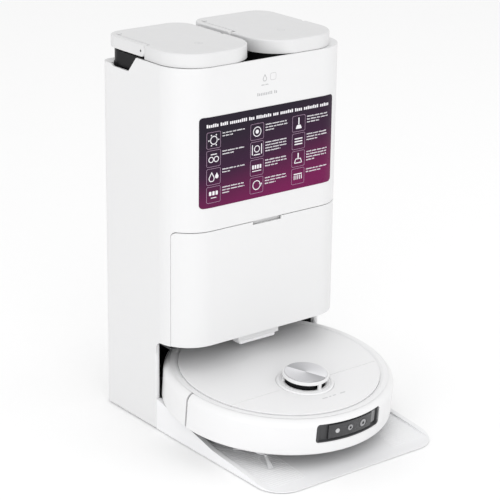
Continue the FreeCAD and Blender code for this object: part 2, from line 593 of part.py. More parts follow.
def make_robot_shell():
    r = ROBOT_R
    h = ROBOT_H
    outer = turned([(COVER_R + 0.6, h - 3.5), (COVER_R + 0.6, h - 0.3), (r - 14, h - 0.3), (r - 6, h - 2.5),
                    (r - 1.5, h - 7), (r, h - 13), (r, BUMPER_Z + 4), (r - 2, BUMPER_Z), (r - SKIN, BUMPER_Z),
                    (r - SKIN, h - 12), (r - SKIN - 4, h - 6), (r - 14, h - 3.5)])
    rear = outer.common(half_space(SHELL_START, 300))
    rim = ring(COVER_R + 0.6, COVER_R + 7.6, h - 3.5, h - 0.3)
    ledge = ring(COVER_R - 6, r - 8 - BUMPER_TRAVEL, h - 9, h - 5.5)
    neck = ring(COVER_R + 1, COVER_R + 6, h - 6, h - 3)
    skirt = ring(COVER_R + 2, COVER_R + 5, PAN_TOP + 2.5 + FIT, h - 8)
    skirt = skirt.common(half_space(-300, -110))
    shell = fuse_all([rear, rim, ledge, neck, skirt])
    add_robot("robot_shell", shell)


def bumper_outline(inner_top):
    r = ROBOT_R
    h = ROBOT_H
    return [(inner_top, h - 4.4), (inner_top, h - 1.2), (r - 6, h - 2.7), (r - 1.5, h - 7), (r, h - 13),
            (r, BUMPER_Z + 4), (r - 2, BUMPER_Z), (r - SKIN, BUMPER_Z), (r - SKIN, h - 10), (r - SKIN - 3, h - 4.4)]


def make_bumper():
    bumper = turned(bumper_outline(ROBOT_R - 10)).common(half_space(-300, BUMPER_END))
    half = WINDOW_W / 2
    z0, z1 = WINDOW_Z
    opening = window_block(-half, half, -300, -100, z0, z1, 4.0)
    bumper = bumper.cut(opening)
    add_robot("bumper", bumper.removeSplitter())
    pane = ring(ROBOT_R - SKIN, ROBOT_R - 0.4, z0, z1)
    pane = pane.common(window_block(-half + 0.2, half - 0.2, -300, -100, z0 + 0.2, z1 - 0.2, 3.8))
    add_robot("sensor_window", pane)
    module = ring(ROBOT_R - 9, ROBOT_R - SKIN - 0.2, z0 + 1, z1 - 1)
    module = module.common(box(-44, 44, -300, -100, z0, z1))
    add_robot("sensor_module", module)


def make_top():
    hole = disc(TURRET_R + 0.5, 0, 200, 0, TURRET_Y)
    plate = disc(COVER_R, COVER_Z, ROBOT_H)
    front = plate.common(half_space(-300, COVER_SEAM - 0.3)).cut(hole)
    add_robot("front_panel", front)
    cover = plate.common(half_space(COVER_SEAM + 0.3, 300)).cut(hole)
    add_robot("top_cover", cover)
    deck = disc(COVER_R - 6.5, DECK_LOW, DECK_HIGH)
    deck = deck.cut(disc(TURRET_R - 5, 0, 200, 0, TURRET_Y))
    deck = deck.cut(box(-72, 72, 12, 98, 0, 200))
    slot = box(WHEEL_X - WHEEL_W / 2 - 2, WHEEL_X + WHEEL_W / 2 + 2, -24, 24, 0, 200)
    deck = deck.cut(both_sides(slot))
    for x in BUTTON_X:
        deck = deck.cut(disc(BUTTON_R + 0.3, 0, 200, x, BUTTON_Y))
    add_robot("robot_deck", deck)
    for name, x in zip(("power_button", "home_button"), BUTTON_X):
        button = disc(BUTTON_R, DECK_LOW - 1, DECK_HIGH + 2, x, BUTTON_Y)
        button = button.fuse(disc(BUTTON_R + 2, DECK_LOW - 2.5, DECK_LOW - 1, x, BUTTON_Y))
        add_robot(name, button.removeSplitter())


def make_turret():
    y = TURRET_Y
    base = disc(TURRET_R, DECK_HIGH + FIT, ROBOT_H + 2.5, 0, y)
    base = base.cut(disc(SPIN_R + 1.0, DECK_HIGH + 2, 200, 0, y))
    base = base.cut(disc(4.0 + PIN_FIT, 0, 200, 0, y))
    add_robot("turret_base", base)
    cap = disc(CAP_R, CAP_TOP - 5.5, CAP_TOP, 0, y)
    cap = cap.makeFillet(1.5, [e for e in cap.Edges if abs(e.BoundBox.ZMin - CAP_TOP) < 1e-6])
    for turn in range(POSTS):
        post = ring(CAP_R - 3.5, CAP_R - 0.5, ROBOT_H + 2.5, CAP_TOP - 5, 0, y)
        wedge = box(-POST_W / 2, POST_W / 2, y, y + 60, 0, 200)
        wedge.rotate(V(0, y, 0), V(0, 0, 1), 180 + 360 / POSTS * turn)
        cap = cap.fuse(post.common(wedge))
    add_robot("turret_cap", cap.removeSplitter())
    add_robot("turret_disc", disc(30.6, CAP_TOP, CAP_TOP + 0.8, 0, y))
    spinner = disc(SPIN_R, DECK_HIGH + 3, CAP_TOP - 6.5, 0, y)
    spinner = spinner.fuse(disc(4.0, DECK_HIGH - 3, DECK_HIGH + 4, 0, y))
    spinner = spinner.cut(window_block(-7, 7, y - 40, y - 24, ROBOT_H + 3.5, CAP_TOP - 8, 1.5))
    add_robot("lidar_spinner", spinner.removeSplitter())


def make_robot_inside():
    add_robot("robot_dustbin", block(-70, 70, 14, 96, 30, 71, 6, 6))
    add_robot("robot_battery", block(-64, 64, 100, 140, 28, 62, 4, 4))
    add_robot("robot_fan", disc(27, 32, 66, 0, -15))
    add_robot("robot_board", box(-58, 58, -128, -100, 62, 64))
    strips = []
    for x in (-30.0, 30.0):
        plate = ring(ROBOT_R + 0.05, ROBOT_R + 0.85, 50, 60).common(box(x - 8, x + 8, 100, 200, 0, 100))
        strips.append(plate)
    add_robot("robot_contacts", Part.makeCompound(strips))
    guard = box(-BRUSH_L / 2 - 9, BRUSH_L / 2 + 9, BRUSH_Y - 24, BRUSH_Y + 24, PAN_Z - 3, PAN_Z - FIT)
    guard = guard.cut(box(-BRUSH_L / 2 - 1, BRUSH_L / 2 + 1, BRUSH_Y - 18, BRUSH_Y + 18, 0, 30))
    add_robot("brush_guard", guard)


def make_wheels():
    x0 = WHEEL_X - WHEEL_W / 2
    for name, side in (("left", -1), ("right", 1)):
        arm = box(x0 - 19, x0 - 2, -12, ARM_Y + 8, ARM_Z - 18, ARM_Z + 8)
        arm = arm.fuse(rod(3.0, (x0 - 3, 0, WHEEL_Z), (1, 0, 0), WHEEL_W - 1))
        arm = arm.cut(rod(2.5 + PIN_FIT, (x0 - 26, ARM_Y, ARM_Z), (1, 0, 0), 14))
        arm = arm.cut(box(x0 - 30, x0 - 18, ARM_Y - 9, 80, 0, 90)).removeSplitter()
        wheel = rod(WHEEL_R, (x0, 0, WHEEL_Z), (1, 0, 0), WHEEL_W)
        wheel = wheel.cut(rod(3.0 + PIN_FIT, (x0 - 1, 0, WHEEL_Z), (1, 0, 0), WHEEL_W + 2))
        wheel = wheel.cut(rod(20.0, (x0 + WHEEL_W - 4, 0, WHEEL_Z), (1, 0, 0), 10))
        if side < 0:
            arm = arm.mirror(V(0, 0, 0), V(1, 0, 0))
            wheel = wheel.mirror(V(0, 0, 0), V(1, 0, 0))
        add_robot(name + "_wheel_arm", arm)
        add_robot(name + "_drive_wheel", wheel)
    r = 11.5
    z = r + GROUND
    fork = disc(17.5, PAN_Z + 2, PAN_Z + 8, 0, CASTER_Y)
    fork = fork.cut(box(-8.5, 8.5, CASTER_Y - 13, CASTER_Y + 13, 0, 40))
    for side in (-1, 1):
        cheek = box(min(side * 8.5, side * 11.5), max(side * 8.5, side * 11.5), CASTER_Y - 6, CASTER_Y + 6,
                    z - 4, PAN_Z + 3)
        fork = fork.fuse(cheek)
    fork = fork.fuse(rod(1.5, (-10, CASTER_Y, z), (1, 0, 0), 20))
    fork = fork.fuse(disc(17.5, PAN_Z + 13.5, PAN_Z + 16, 0, CASTER_Y))
    fork = fork.fuse(ring(14.5, 17.5, PAN_Z + 7, PAN_Z + 14, 0, CASTER_Y))
    add_robot("caster_fork", fork.removeSplitter())
    wheel = rod(r, (-7.5, CASTER_Y, z), (1, 0, 0), 15).cut(rod(1.5 + PIN_FIT, (-9, CASTER_Y, z), (1, 0, 0), 18))
    add_robot("caster_wheel", wheel)


def make_brushes():
    z = BRUSH_R + 2
    roller = rod(BRUSH_R - 4, (-BRUSH_L / 2, BRUSH_Y, z), (1, 0, 0), BRUSH_L)
    for turn in range(4):
        vane = box(-BRUSH_L / 2 + 2, BRUSH_L / 2 - 2, BRUSH_Y - 1.5, BRUSH_Y + 1.5, z, z + BRUSH_R)
        vane.rotate(V(0, BRUSH_Y, z), V(1, 0, 0), 45 + 90 * turn)
        roller = roller.fuse(vane)
    for end in (-1, 1):
        roller = roller.cut(rod(2.0 + PIN_FIT, (end * BRUSH_L / 2, BRUSH_Y, z), (-end, 0, 0), 6))
    add_robot("main_brush", roller.removeSplitter())
    x, y = SIDE_BRUSH
    brush = disc(13.0, 6.5, 10.2, x, y).fuse(disc(5.0, 10, 24, x, y))
    for turn in range(3):
        tuft = profile_x([(8, 7), (8, 9.5), (TUFT_L, 3.2), (TUFT_L, 1.6)], -2.5, 2.5)
        tuft.rotate(V(0, 0, 0), V(0, 0, 1), -90 + 130 + 120 * turn)
        tuft.translate(V(x, y, 0))
        brush = brush.fuse(tuft)
    add_robot("side_brush", brush.removeSplitter())
    for name, side in (("left", -1), ("right", 1)):
        mop = disc(MOP_R, MOP_Z, 8.0, side * MOP_X, MOP_Y).fuse(disc(6.0, 7, 26, side * MOP_X, MOP_Y))
        add_robot(name + "_mop", mop.removeSplitter())


def build_station():
    make_housing()
    make_rear_cover()
    make_screws()
    make_base_tray()
    make_wash_tray()
    make_liner()
    make_tank_deck()
    make_bay_frame()
    make_door()
    make_dust_path()
    make_water_path()
    make_beacon()
    make_label()
    make_tanks()


def build_robot():
    make_chassis()
    make_robot_shell()
    make_bumper()
    make_top()
    make_turret()
    make_robot_inside()
    make_wheels()
    make_brushes()


def main():
    os.makedirs("parts", exist_ok=True)
    build_station()
    build_robot()
    for name in sorted(PARTS):
        PARTS[name].exportStep("parts/" + name + ".step")
    print(len(PARTS), "parts")


main()
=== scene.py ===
"""Looks of a robot vacuum docked in its self-cleaning station.

Pieces are shaped in millimetres and become metres when they are finished.
Station pieces are drawn where they stand.  Robot pieces are drawn level, with
the origin on the floor under the robot's centre, and are then set on the ramp.
"""

import json
import logging
import math
import random
from dataclasses import dataclass
from enum import Enum
from typing import Callable, Optional, Sequence

import bmesh
import bpy
from mathutils import Matrix, Vector


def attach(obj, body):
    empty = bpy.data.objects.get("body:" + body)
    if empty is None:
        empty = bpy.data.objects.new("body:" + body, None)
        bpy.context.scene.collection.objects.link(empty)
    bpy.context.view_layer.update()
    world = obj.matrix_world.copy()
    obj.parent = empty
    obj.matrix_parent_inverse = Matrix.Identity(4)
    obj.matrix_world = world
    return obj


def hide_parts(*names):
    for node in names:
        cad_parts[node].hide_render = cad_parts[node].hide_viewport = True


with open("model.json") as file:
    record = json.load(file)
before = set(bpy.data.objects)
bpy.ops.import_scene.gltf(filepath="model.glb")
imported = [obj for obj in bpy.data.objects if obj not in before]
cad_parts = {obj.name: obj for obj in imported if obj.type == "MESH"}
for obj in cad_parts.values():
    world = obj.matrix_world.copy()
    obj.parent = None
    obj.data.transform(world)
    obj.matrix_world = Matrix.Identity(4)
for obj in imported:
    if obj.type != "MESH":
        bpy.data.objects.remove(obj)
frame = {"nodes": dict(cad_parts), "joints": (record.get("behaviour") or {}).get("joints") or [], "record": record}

MM = 0.001
TURN = 2 * math.pi
WELD = 1e-4                # points nearer than this are one, in millimetres
SMOOTH_DEG = 42.0          # creases sharper than this stay crisp
LOG = logging.getLogger("robot_vacuum")
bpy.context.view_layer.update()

Corner = Sequence[float]
Test = Callable[[Vector], bool]


class Slot(Enum):
    """The record's material slots."""

    WHITE = "white_shell"
    MATTE = "white_matte"
    TANK = "black_tank"
    DARK = "dark_plastic"
    GREY = "grey_plastic"
    LABEL = "label_print"
    WINDOW = "smoked_window"
    DISC = "brushed_disc"
    STEEL = "steel"
    CONTACT = "contact_metal"
    RUBBER = "rubber_black"
    TYRE = "tyre_black"
    BAG = "bag_paper"
    MOP = "mop_fabric"
    BRISTLE = "bristle_white"
    BOARD = "board_green"


class Side(Enum):
    """The two sides of the station, as the sign of X."""

    DIRTY = -1
    CLEAN = 1


def joint_named(name: str) -> dict:
    """Find one of the record's joints.

    Args:
        name: the joint's name.

    Returns:
        The joint as the record holds it.
    """
    return next(j for j in frame["joints"] if j["name"] == name)


TURRET_PIVOT = Vector((0.0, -62.0, 80.0))    # a point of the turret's axis on the level robot


def ramp_place() -> Matrix:
    """Work out how the robot stands on the ramp, from the turret's axis.

    Returns:
        The move from the level robot to the docked one, in millimetres.
    """
    spin = joint_named("lidar_spin")
    axis = spin["axis"]
    tilt = Matrix.Rotation(math.atan2(-axis[1], axis[2]), 4, "X")
    pivot = Vector(spin["pos_m"]) / MM
    return Matrix.Translation(pivot - tilt @ TURRET_PIVOT) @ tilt


LEVEL = Matrix.Identity(4)
RAMP = ramp_place()


# ---- shaping ----------------------------------------------------------------
class Form:
    """A mesh that is being shaped, in millimetres, before it becomes a piece."""

    def __init__(self, place: Matrix = LEVEL) -> None:
        """Start empty.

        Args:
            place: the move made when the piece is finished.
        """
        self.mesh = bmesh.new()
        self.place = place

    @classmethod
    def copy_of(cls, node: str, flat: float = 0.6) -> "Form":
        """Start from a merged copy of a frame node.

        Args:
            node: the node's name.
            flat: faces that differ by fewer degrees become one face.

        Returns:
            The new form.
        """
        form = cls()
        form.mesh.from_mesh(frame["nodes"][node].data)
        bmesh.ops.scale(form.mesh, vec=(1 / MM,) * 3, verts=form.mesh.verts)
        bmesh.ops.remove_doubles(form.mesh, verts=form.mesh.verts, dist=0.002)
        bmesh.ops.dissolve_limit(form.mesh, angle_limit=math.radians(flat), verts=form.mesh.verts,
                                 edges=form.mesh.edges, use_dissolve_boundaries=False, delimit={"NORMAL"})
        return form

    def outline(self, corners: Sequence[Corner], radii: Sequence[float],
                steps: int = 8) -> bmesh.types.BMFace:
        """Draw a flat face and round its corners.

        Args:
            corners: the corners, in order.
            radii: one radius for each corner.
            steps: segments in each rounded corner.

        Returns:
            The face.
        """
        known = set(self.mesh.faces)
        verts = [self.mesh.verts.new(c) for c in corners]
        self.mesh.faces.new(verts)
        count = len(corners)
        for i, radius in enumerate(radii):
            if radius <= 0:
                continue
            here = Vector(corners[i])
            before = Vector(corners[i - 1]) - here
            after = Vector(corners[(i + 1) % count]) - here
            reach = radius / math.tan(before.angle(after) / 2)
            bmesh.ops.bevel(self.mesh, geom=[verts[i]], offset=reach, offset_type="OFFSET",
                            affect="VERTICES", segments=steps, profile=0.5, material=-1, clamp_overlap=False)
        return next(f for f in self.mesh.faces if f not in known)

    def extrude(self, faces: Sequence[bmesh.types.BMFace]) -> tuple:
        """Extrude faces in place.

        Args:
            faces: the faces, as one region.

        Returns:
            The new vertices and the new faces, which are still where they started.
        """
        made = bmesh.ops.extrude_face_region(self.mesh, geom=faces)["geom"]
        kinds = (bmesh.types.BMVert, bmesh.types.BMFace)
        return tuple([g for g in made if isinstance(g, kind)] for kind in kinds)

    def slice(self, point: Corner, normal: Corner, drop: bool = False) -> None:
        """Cut every face along a plane, and drop what lies behind it if asked.

        Args:
            point: a point of the plane.
            normal: the plane's direction.
            drop: whether the side away from the normal goes.
        """
        geometry = self.mesh.verts[:] + self.mesh.edges[:] + self.mesh.faces[:]
        bmesh.ops.bisect_plane(self.mesh, geom=geometry, dist=WELD, plane_co=point, plane_no=normal,
                               clear_inner=drop, clear_outer=False)

    def raise_face(self, face: bmesh.types.BMFace, shift: Corner) -> bmesh.types.BMFace:
        """Extrude a face.

        Args:
            face: the face to move.
            shift: how far it goes.

        Returns:
            The moved face.
        """
        verts, faces = self.extrude([face])
        bmesh.ops.translate(self.mesh, vec=shift, verts=verts)
        return faces[0]

    def prism(self, corners: Sequence[Corner], radii: Sequence[float], shift: Corner,
              steps: int = 8) -> "Form":
        """Add a straight-sided solid on a rounded outline.

        Args:
            corners: the outline's corners.
            radii: one radius for each corner.
            shift: the direction and length of the solid.
            steps: segments in each rounded corner.

        Returns:
            This form.
        """
        self.raise_face(self.outline(corners, radii, steps), shift)
        return self

    def slab(self, x: Corner, y: Corner, z: Corner, front: float = 0.0, back: float = 0.0,
             steps: int = 8) -> "Form":
        """Add a box whose upright corners are rounded.

        Args:
            x: left and right ends.
            y: front and back ends.
            z: bottom and top.
            front: radius of the two front corners.
            back: radius of the two back corners.
            steps: segments in each rounded corner.

        Returns:
            This form.
        """
        corners = [(x[0], y[0], z[0]), (x[1], y[0], z[0]), (x[1], y[1], z[0]), (x[0], y[1], z[0])]
        return self.prism(corners, (front, front, back, back), (0, 0, z[1] - z[0]), steps)

    def port(self, x: Corner, y: Corner, z: Corner, radius: float) -> "Form":
        """Add a box along Y whose four long edges are rounded.

        Args:
            x: left and right ends.
            y: front and back ends.
            z: bottom and top.
            radius: radius of the four edges.

        Returns:
            This form.
        """
        corners = [(x[0], y[0], z[0]), (x[1], y[0], z[0]), (x[1], y[0], z[1]), (x[0], y[0], z[1])]
        return self.prism(corners, (radius,) * 4, (0, y[1] - y[0], 0))

    def turn(self, points: Sequence[Corner], radii: Sequence[float], steps: int = 128,
             place: Matrix = LEVEL, corner_steps: int = 5) -> "Form":
        """Add a solid of revolution.

        Args:
            points: the closed outline, as (radius, height).
            radii: one radius for each corner of the outline.
            steps: segments round the axis.
            place: where the axis, drawn upright at the origin, goes.
            corner_steps: segments in each rounded corner.

        Returns:
            This form.
        """
        part = Form()
        face = part.outline([(r, 0, z) for r, z in points], radii, corner_steps)
        bmesh.ops.delete(part.mesh, geom=[face], context="FACES_ONLY")
        axial = [e for e in part.mesh.edges if all(v.co.x < 1e-5 for v in e.verts)]
        bmesh.ops.delete(part.mesh, geom=axial, context="EDGES")
        return self.revolve(part, part.mesh.verts[:] + part.mesh.edges[:], TURN, steps, place)

    def sector(self, points: Sequence[Corner], radii: Sequence[float], start: float, sweep: float,
               steps: int, place: Matrix = LEVEL) -> "Form":
        """Add part of a solid of revolution, closed at both ends.

        Args:
            points: the closed outline, as (radius, height).
            radii: one radius for each corner of the outline.
            start: first angle in degrees, from the front towards +X.
            sweep: angle covered, in degrees.
            steps: segments over that angle.
            place: where the axis goes.

        Returns:
            This form.
        """
        part = Form()
        face = part.outline([(r, 0, z) for r, z in points], radii, 3)
        turned = Matrix.Rotation(math.radians(start - 90), 3, "Z")
        bmesh.ops.rotate(part.mesh, cent=(0, 0, 0), matrix=turned, verts=part.mesh.verts)
        return self.revolve(part, face.verts[:] + face.edges[:] + [face], math.radians(sweep), steps, place)

    def revolve(self, part: "Form", section: Sequence[bmesh.types.BMVert], angle: float, steps: int,
                place: Matrix) -> "Form":
        """Spin a section round the upright axis and take the solid in.

        Args:
            part: the form that holds the section, which is used up.
            section: what is spun.
            angle: how far, in radians.
            steps: segments over that angle.
            place: where the axis goes.

        Returns:
            This form.
        """
        bmesh.ops.spin(part.mesh, geom=section, cent=(0, 0, 0), axis=(0, 0, 1), dvec=(0, 0, 0), angle=angle,
                       steps=steps, use_merge=angle == TURN, use_duplicate=False)
        bmesh.ops.remove_doubles(part.mesh, verts=part.mesh.verts, dist=WELD)
        bmesh.ops.recalc_face_normals(part.mesh, faces=part.mesh.faces)
        return self.add(part, place)

    def rod(self, start: Corner, end: Corner, radius: float, tip: Optional[float] = None,
            sides: int = 24) -> "Form":
        """Add a round bar or a cone between two points.

        Args:
            start: middle of the first end.
            end: middle of the second end.
            radius: radius at the start.
            tip: radius at the end, if it differs.
            sides: faces round the bar.

        Returns:
            This form.
        """
        a, b = Vector(start), Vector(end)
        turn = (b - a).to_track_quat("Z", "Y").to_matrix().to_4x4()
        bmesh.ops.create_cone(self.mesh, cap_ends=True, segments=sides, radius1=radius,
                              radius2=radius if tip is None else tip, depth=(b - a).length,
                              matrix=Matrix.Translation((a + b) / 2) @ turn)
        return self

    def add(self, other: "Form", place: Matrix = LEVEL) -> "Form":
        """Take in another form's mesh.

        Args:
            other: the form, which is used up.
            place: the move made first.

        Returns:
            This form.
        """
        other.mesh.transform(place)
        if place.determinant() < 0:
            bmesh.ops.reverse_faces(other.mesh, faces=other.mesh.faces)
        mesh = bpy.data.meshes.new("part")
        other.mesh.to_mesh(mesh)
        other.mesh.free()
        self.mesh.from_mesh(mesh)
        bpy.data.meshes.remove(mesh)
        return self

    def mirrored(self) -> "Form":
        """Add this form's own mirror image across the middle plane."""
        twin = Form()
        twin.mesh.free()
        twin.mesh = self.mesh.copy()
        return self.add(twin, Matrix.Scale(-1, 4, (1, 0, 0)))

    def cut(self, tool: "Form") -> "Form":
        """Take another form's volume away.

        Args:
            tool: the form to take away, which is used up.

        Returns:
            This form.
        """
        holders = []
        for form in (self, tool):
            bmesh.ops.recalc_face_normals(form.mesh, faces=form.mesh.faces)
            mesh = bpy.data.meshes.new("part")
            form.mesh.to_mesh(mesh)
            form.mesh.free()
            holder = bpy.data.objects.new("part", mesh)
            bpy.context.scene.collection.objects.link(holder)
            holders.append(holder)
        base, cutter = holders
        modifier = base.modifiers.new("cut", "BOOLEAN")
        modifier.operation = "DIFFERENCE"
        modifier.solver = "EXACT"
        modifier.object = cutter
        solid = bpy.data.meshes.new_from_object(base.evaluated_get(bpy.context.evaluated_depsgraph_get()))
        self.mesh = bmesh.new()
        self.mesh.from_mesh(solid)
        for holder in holders:
            mesh = holder.data
            bpy.data.objects.remove(holder)
            bpy.data.meshes.remove(mesh)
        bpy.data.meshes.remove(solid)
        bmesh.ops.remove_doubles(self.mesh, verts=self.mesh.verts, dist=WELD)
        return self

    def keep_side(self, point: Corner, normal: Corner) -> "Form":
        """Keep what lies on one side of a plane, and close the cut.

        Args:
            point: a point of the plane.
            normal: the direction of the side that stays.

        Returns:
            This form.
        """
        self.slice(point, normal, True)
        rim = [e for e in self.mesh.edges if e.is_boundary]
        bmesh.ops.holes_fill(self.mesh, edges=rim, sides=0)
        return self

    def round_edges(self, width: float, segments: int = 2, sharp: float = 32.0,
                    where: Optional[Test] = None) -> "Form":
        """Round the sharp edges.

        Args:
            width: size of the rounding.
            segments: faces across it.
            sharp: edges that turn by more degrees are rounded.
            where: a test of an edge's middle, or every edge.

        Returns:
            This form.
        """
        limit = math.radians(sharp)
        edges = [e for e in self.mesh.edges if len(e.link_faces) == 2 and e.calc_face_angle(0) > limit
                 and (where is None or where((e.verts[0].co + e.verts[1].co) / 2))]
        bmesh.ops.bevel(self.mesh, geom=edges, offset=width, offset_type="OFFSET", affect="EDGES",
                        segments=segments, profile=0.5, material=-1, clamp_overlap=True, loop_slide=True)
        return self

    def finish(self, name: str, body: str, slot: Slot, finish: bpy.types.Material,
               replaces: Sequence[str] = ()) -> bpy.types.Object:
        """Make the form a piece of the object.

        Args:
            name: the piece's name.
            body: the body that it rides on.
            slot: the material slot that the finish belongs to; not used.
            finish: its material.
            replaces: the nodes that it stands for.

        Returns:
            The finished object, at the origin, with its place in its mesh.
        """
        self.mesh.transform(Matrix.Scale(MM, 4) @ self.place)
        data = bpy.data.meshes.new(name)
        self.mesh.to_mesh(data)
        self.mesh.free()
        data.shade_smooth()
        data.set_sharp_from_angle(angle=math.radians(SMOOTH_DEG))
        data.materials.append(finish)
        piece = bpy.data.objects.new(name, data)
        bpy.context.scene.collection.objects.link(piece)
        flat = piece.modifiers.new("even_light", "WEIGHTED_NORMAL")
        flat.keep_sharp = True
        flat.weight = 60
        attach(piece, body)
        if replaces:
            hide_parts(*replaces)
        LOG.info("%s rides on %s, %d faces", name, body, len(data.polygons))
        return piece


# ---- finishes -----------------------------------------------------------------
MIX_AMOUNT, MIX_FIRST, MIX_SECOND = 0, 6, 7     # inputs of a colour Mix node
MIX_COLOUR = 2                                  # its output


class Sheet:
    """A material's nodes, with short calls for those the finishes share."""

    def __init__(self, name: str) -> None:
        """Start a material with a plain surface.

        Args:
            name: the material's name.
        """
        self.material = bpy.data.materials.new(name)
        self.material.use_nodes = True
        self.tree = self.material.node_tree
        self.tree.nodes.clear()
        self.surface = self.tree.nodes.new("ShaderNodeBsdfPrincipled")
        output = self.tree.nodes.new("ShaderNodeOutputMaterial")
        self.feed(self.surface.outputs[0], output.inputs[0])
        self.place = self.tree.nodes.new("ShaderNodeTexCoord").outputs["Object"]

    def node(self, kind: str, inputs: Optional[dict] = None, **settings) -> bpy.types.Node:
        """Add a node, set its options and fill its inputs.

        Args:
            kind: the node's type, without its prefix.
            inputs: sockets or values, by the input's name or number.
            settings: its options by name.

        Returns:
            The node.
        """
        made = self.tree.nodes.new("ShaderNode" + kind)
        for key, value in settings.items():
            setattr(made, key, value)
        for key, value in (inputs or {}).items():
            self.feed(value, made.inputs[key])
        return made

    def feed(self, source, target: bpy.types.NodeSocket) -> None:
        """Link a socket to an input, or give the input a value.

        Args:
            source: the socket or the value.
            target: the input.
        """
        if isinstance(source, bpy.types.NodeSocket):
            self.tree.links.new(source, target)
        else:
            target.default_value = source

    def mapped(self, location: Corner = (0, 0, 0), rotation: Corner = (0, 0, 0),
               scale: Corner = (1, 1, 1), kind: str = "POINT") -> bpy.types.NodeSocket:
        """Move, turn or stretch the object's own coordinates.

        Args:
            location: the move, in metres.
            rotation: the turn, in radians.
            scale: the stretch.
            kind: the mapping's type.

        Returns:
            The vector socket.
        """
        inputs = {"Location": location, "Rotation": rotation, "Scale": scale, "Vector": self.place}
        return self.node("Mapping", inputs, vector_type=kind).outputs["Vector"]

    def noise(self, scale: float, detail: float = 2.0,
              vector: Optional[bpy.types.NodeSocket] = None) -> bpy.types.NodeSocket:
        """Add a noise pattern.

        Args:
            scale: features in a metre.
            detail: octaves.
            vector: coordinates, or the object's own.

        Returns:
            The value socket.
        """
        inputs = {"Scale": scale, "Detail": detail, "Vector": vector or self.place}
        return self.node("TexNoise", inputs).outputs["Fac"]

    def cells(self, scale: float) -> bpy.types.NodeSocket:
        """Add a cell pattern of that many cells in a metre, as distance to the nearest centre."""
        return self.node("TexVoronoi", {"Scale": scale, "Vector": self.place}).outputs["Distance"]

    def calc(self, operation: str, *terms) -> bpy.types.NodeSocket:
        """Add a sum on sockets or numbers.

        Args:
            operation: the sum's name.
            terms: sockets or numbers.

        Returns:
            The value socket.
        """
        return self.node("Math", dict(enumerate(terms)), operation=operation).outputs[0]

    def span(self, source: bpy.types.NodeSocket, low: float, high: float,
             first: float = 0.0, last: float = 1.0) -> bpy.types.NodeSocket:
        """Stretch a value from one range to another, held at its ends.

        Args:
            source: the value.
            low: result at the first end.
            high: result at the last end.
            first: value at the first end.
            last: value at the last end.

        Returns:
            The value socket.
        """
        inputs = {"From Min": first, "From Max": last, "To Min": low, "To Max": high, "Value": source}
        return self.node("MapRange", inputs).outputs["Result"]

    def blend(self, amount, first, second, kind: str = "MIX") -> bpy.types.NodeSocket:
        """Mix two colours.

        Args:
            amount: 0 for the first, 1 for the second.
            first: socket, or colour as (red, green, blue).
            second: socket, or colour as (red, green, blue).
            kind: how they mix.

        Returns:
            The colour socket.
        """
        pair = [c if isinstance(c, bpy.types.NodeSocket) else (*c, 1.0) for c in (first, second)]
        inputs = {MIX_AMOUNT: amount, MIX_FIRST: pair[0], MIX_SECOND: pair[1]}
        return self.node("Mix", inputs, data_type="RGBA", blend_type=kind).outputs[MIX_COLOUR]

    def bump(self, height: bpy.types.NodeSocket, strength: float, depth_mm: float) -> None:
        """Roughen the surface.

        Args:
            height: the pattern.
            strength: how much of it shows.
            depth_mm: its depth.
        """
        made = self.node("Bump", {"Strength": strength, "Distance": depth_mm * MM, "Height": height})
        self.drive("Normal", made.outputs["Normal"])

    def set(self, **values: float) -> None:
        """Set the surface's own numbers, with underscores for spaces in their names."""
        for key, value in values.items():
            self.drive(key.replace("_", " "), value)

    def split(self, vector: bpy.types.NodeSocket) -> Sequence[bpy.types.NodeSocket]:
        """The X, Y and Z of a vector."""
        return self.node("SeparateXYZ", {0: vector}).outputs

    def drive(self, name: str, source) -> None:
        """Link a pattern to one of the surface's sockets, or give it a value."""
        self.feed(source, self.surface.inputs[name])


def shade(colour: Corner, factor: float) -> tuple:
    """A colour made lighter or darker by a factor."""
    return tuple(min(1.0, c * factor) for c in colour)


@dataclass(frozen=True)
class Moulded:
    """Injection-moulded plastic: an even colour with a fine spark-eroded grain."""

    name: str
    colour: tuple
    roughness: float = 0.4
    grain: float = 1500.0
    depth: float = 0.02
    drift: float = 0.012
    specular: float = 0.5
    coat: float = 0.0

    def build(self) -> bpy.types.Material:
        """Make the material: slow colour drift, uneven polish and grain."""
        sheet = Sheet(self.name)
        slow = sheet.noise(7.0, 1.0)
        dark, light = shade(self.colour, 1 - self.drift), shade(self.colour, 1 + self.drift)
        sheet.drive("Base Color", sheet.blend(slow, dark, light))
        polish = sheet.noise(55.0, 3.0)
        sheet.drive("Roughness", sheet.span(polish, self.roughness - 0.05, self.roughness + 0.05, 0.3, 0.7))
        sheet.bump(sheet.noise(self.grain, 3.0), 0.35, self.depth)
        sheet.set(Specular_IOR_Level=self.specular, Coat_Weight=self.coat, Coat_Roughness=0.08)
        return sheet.material


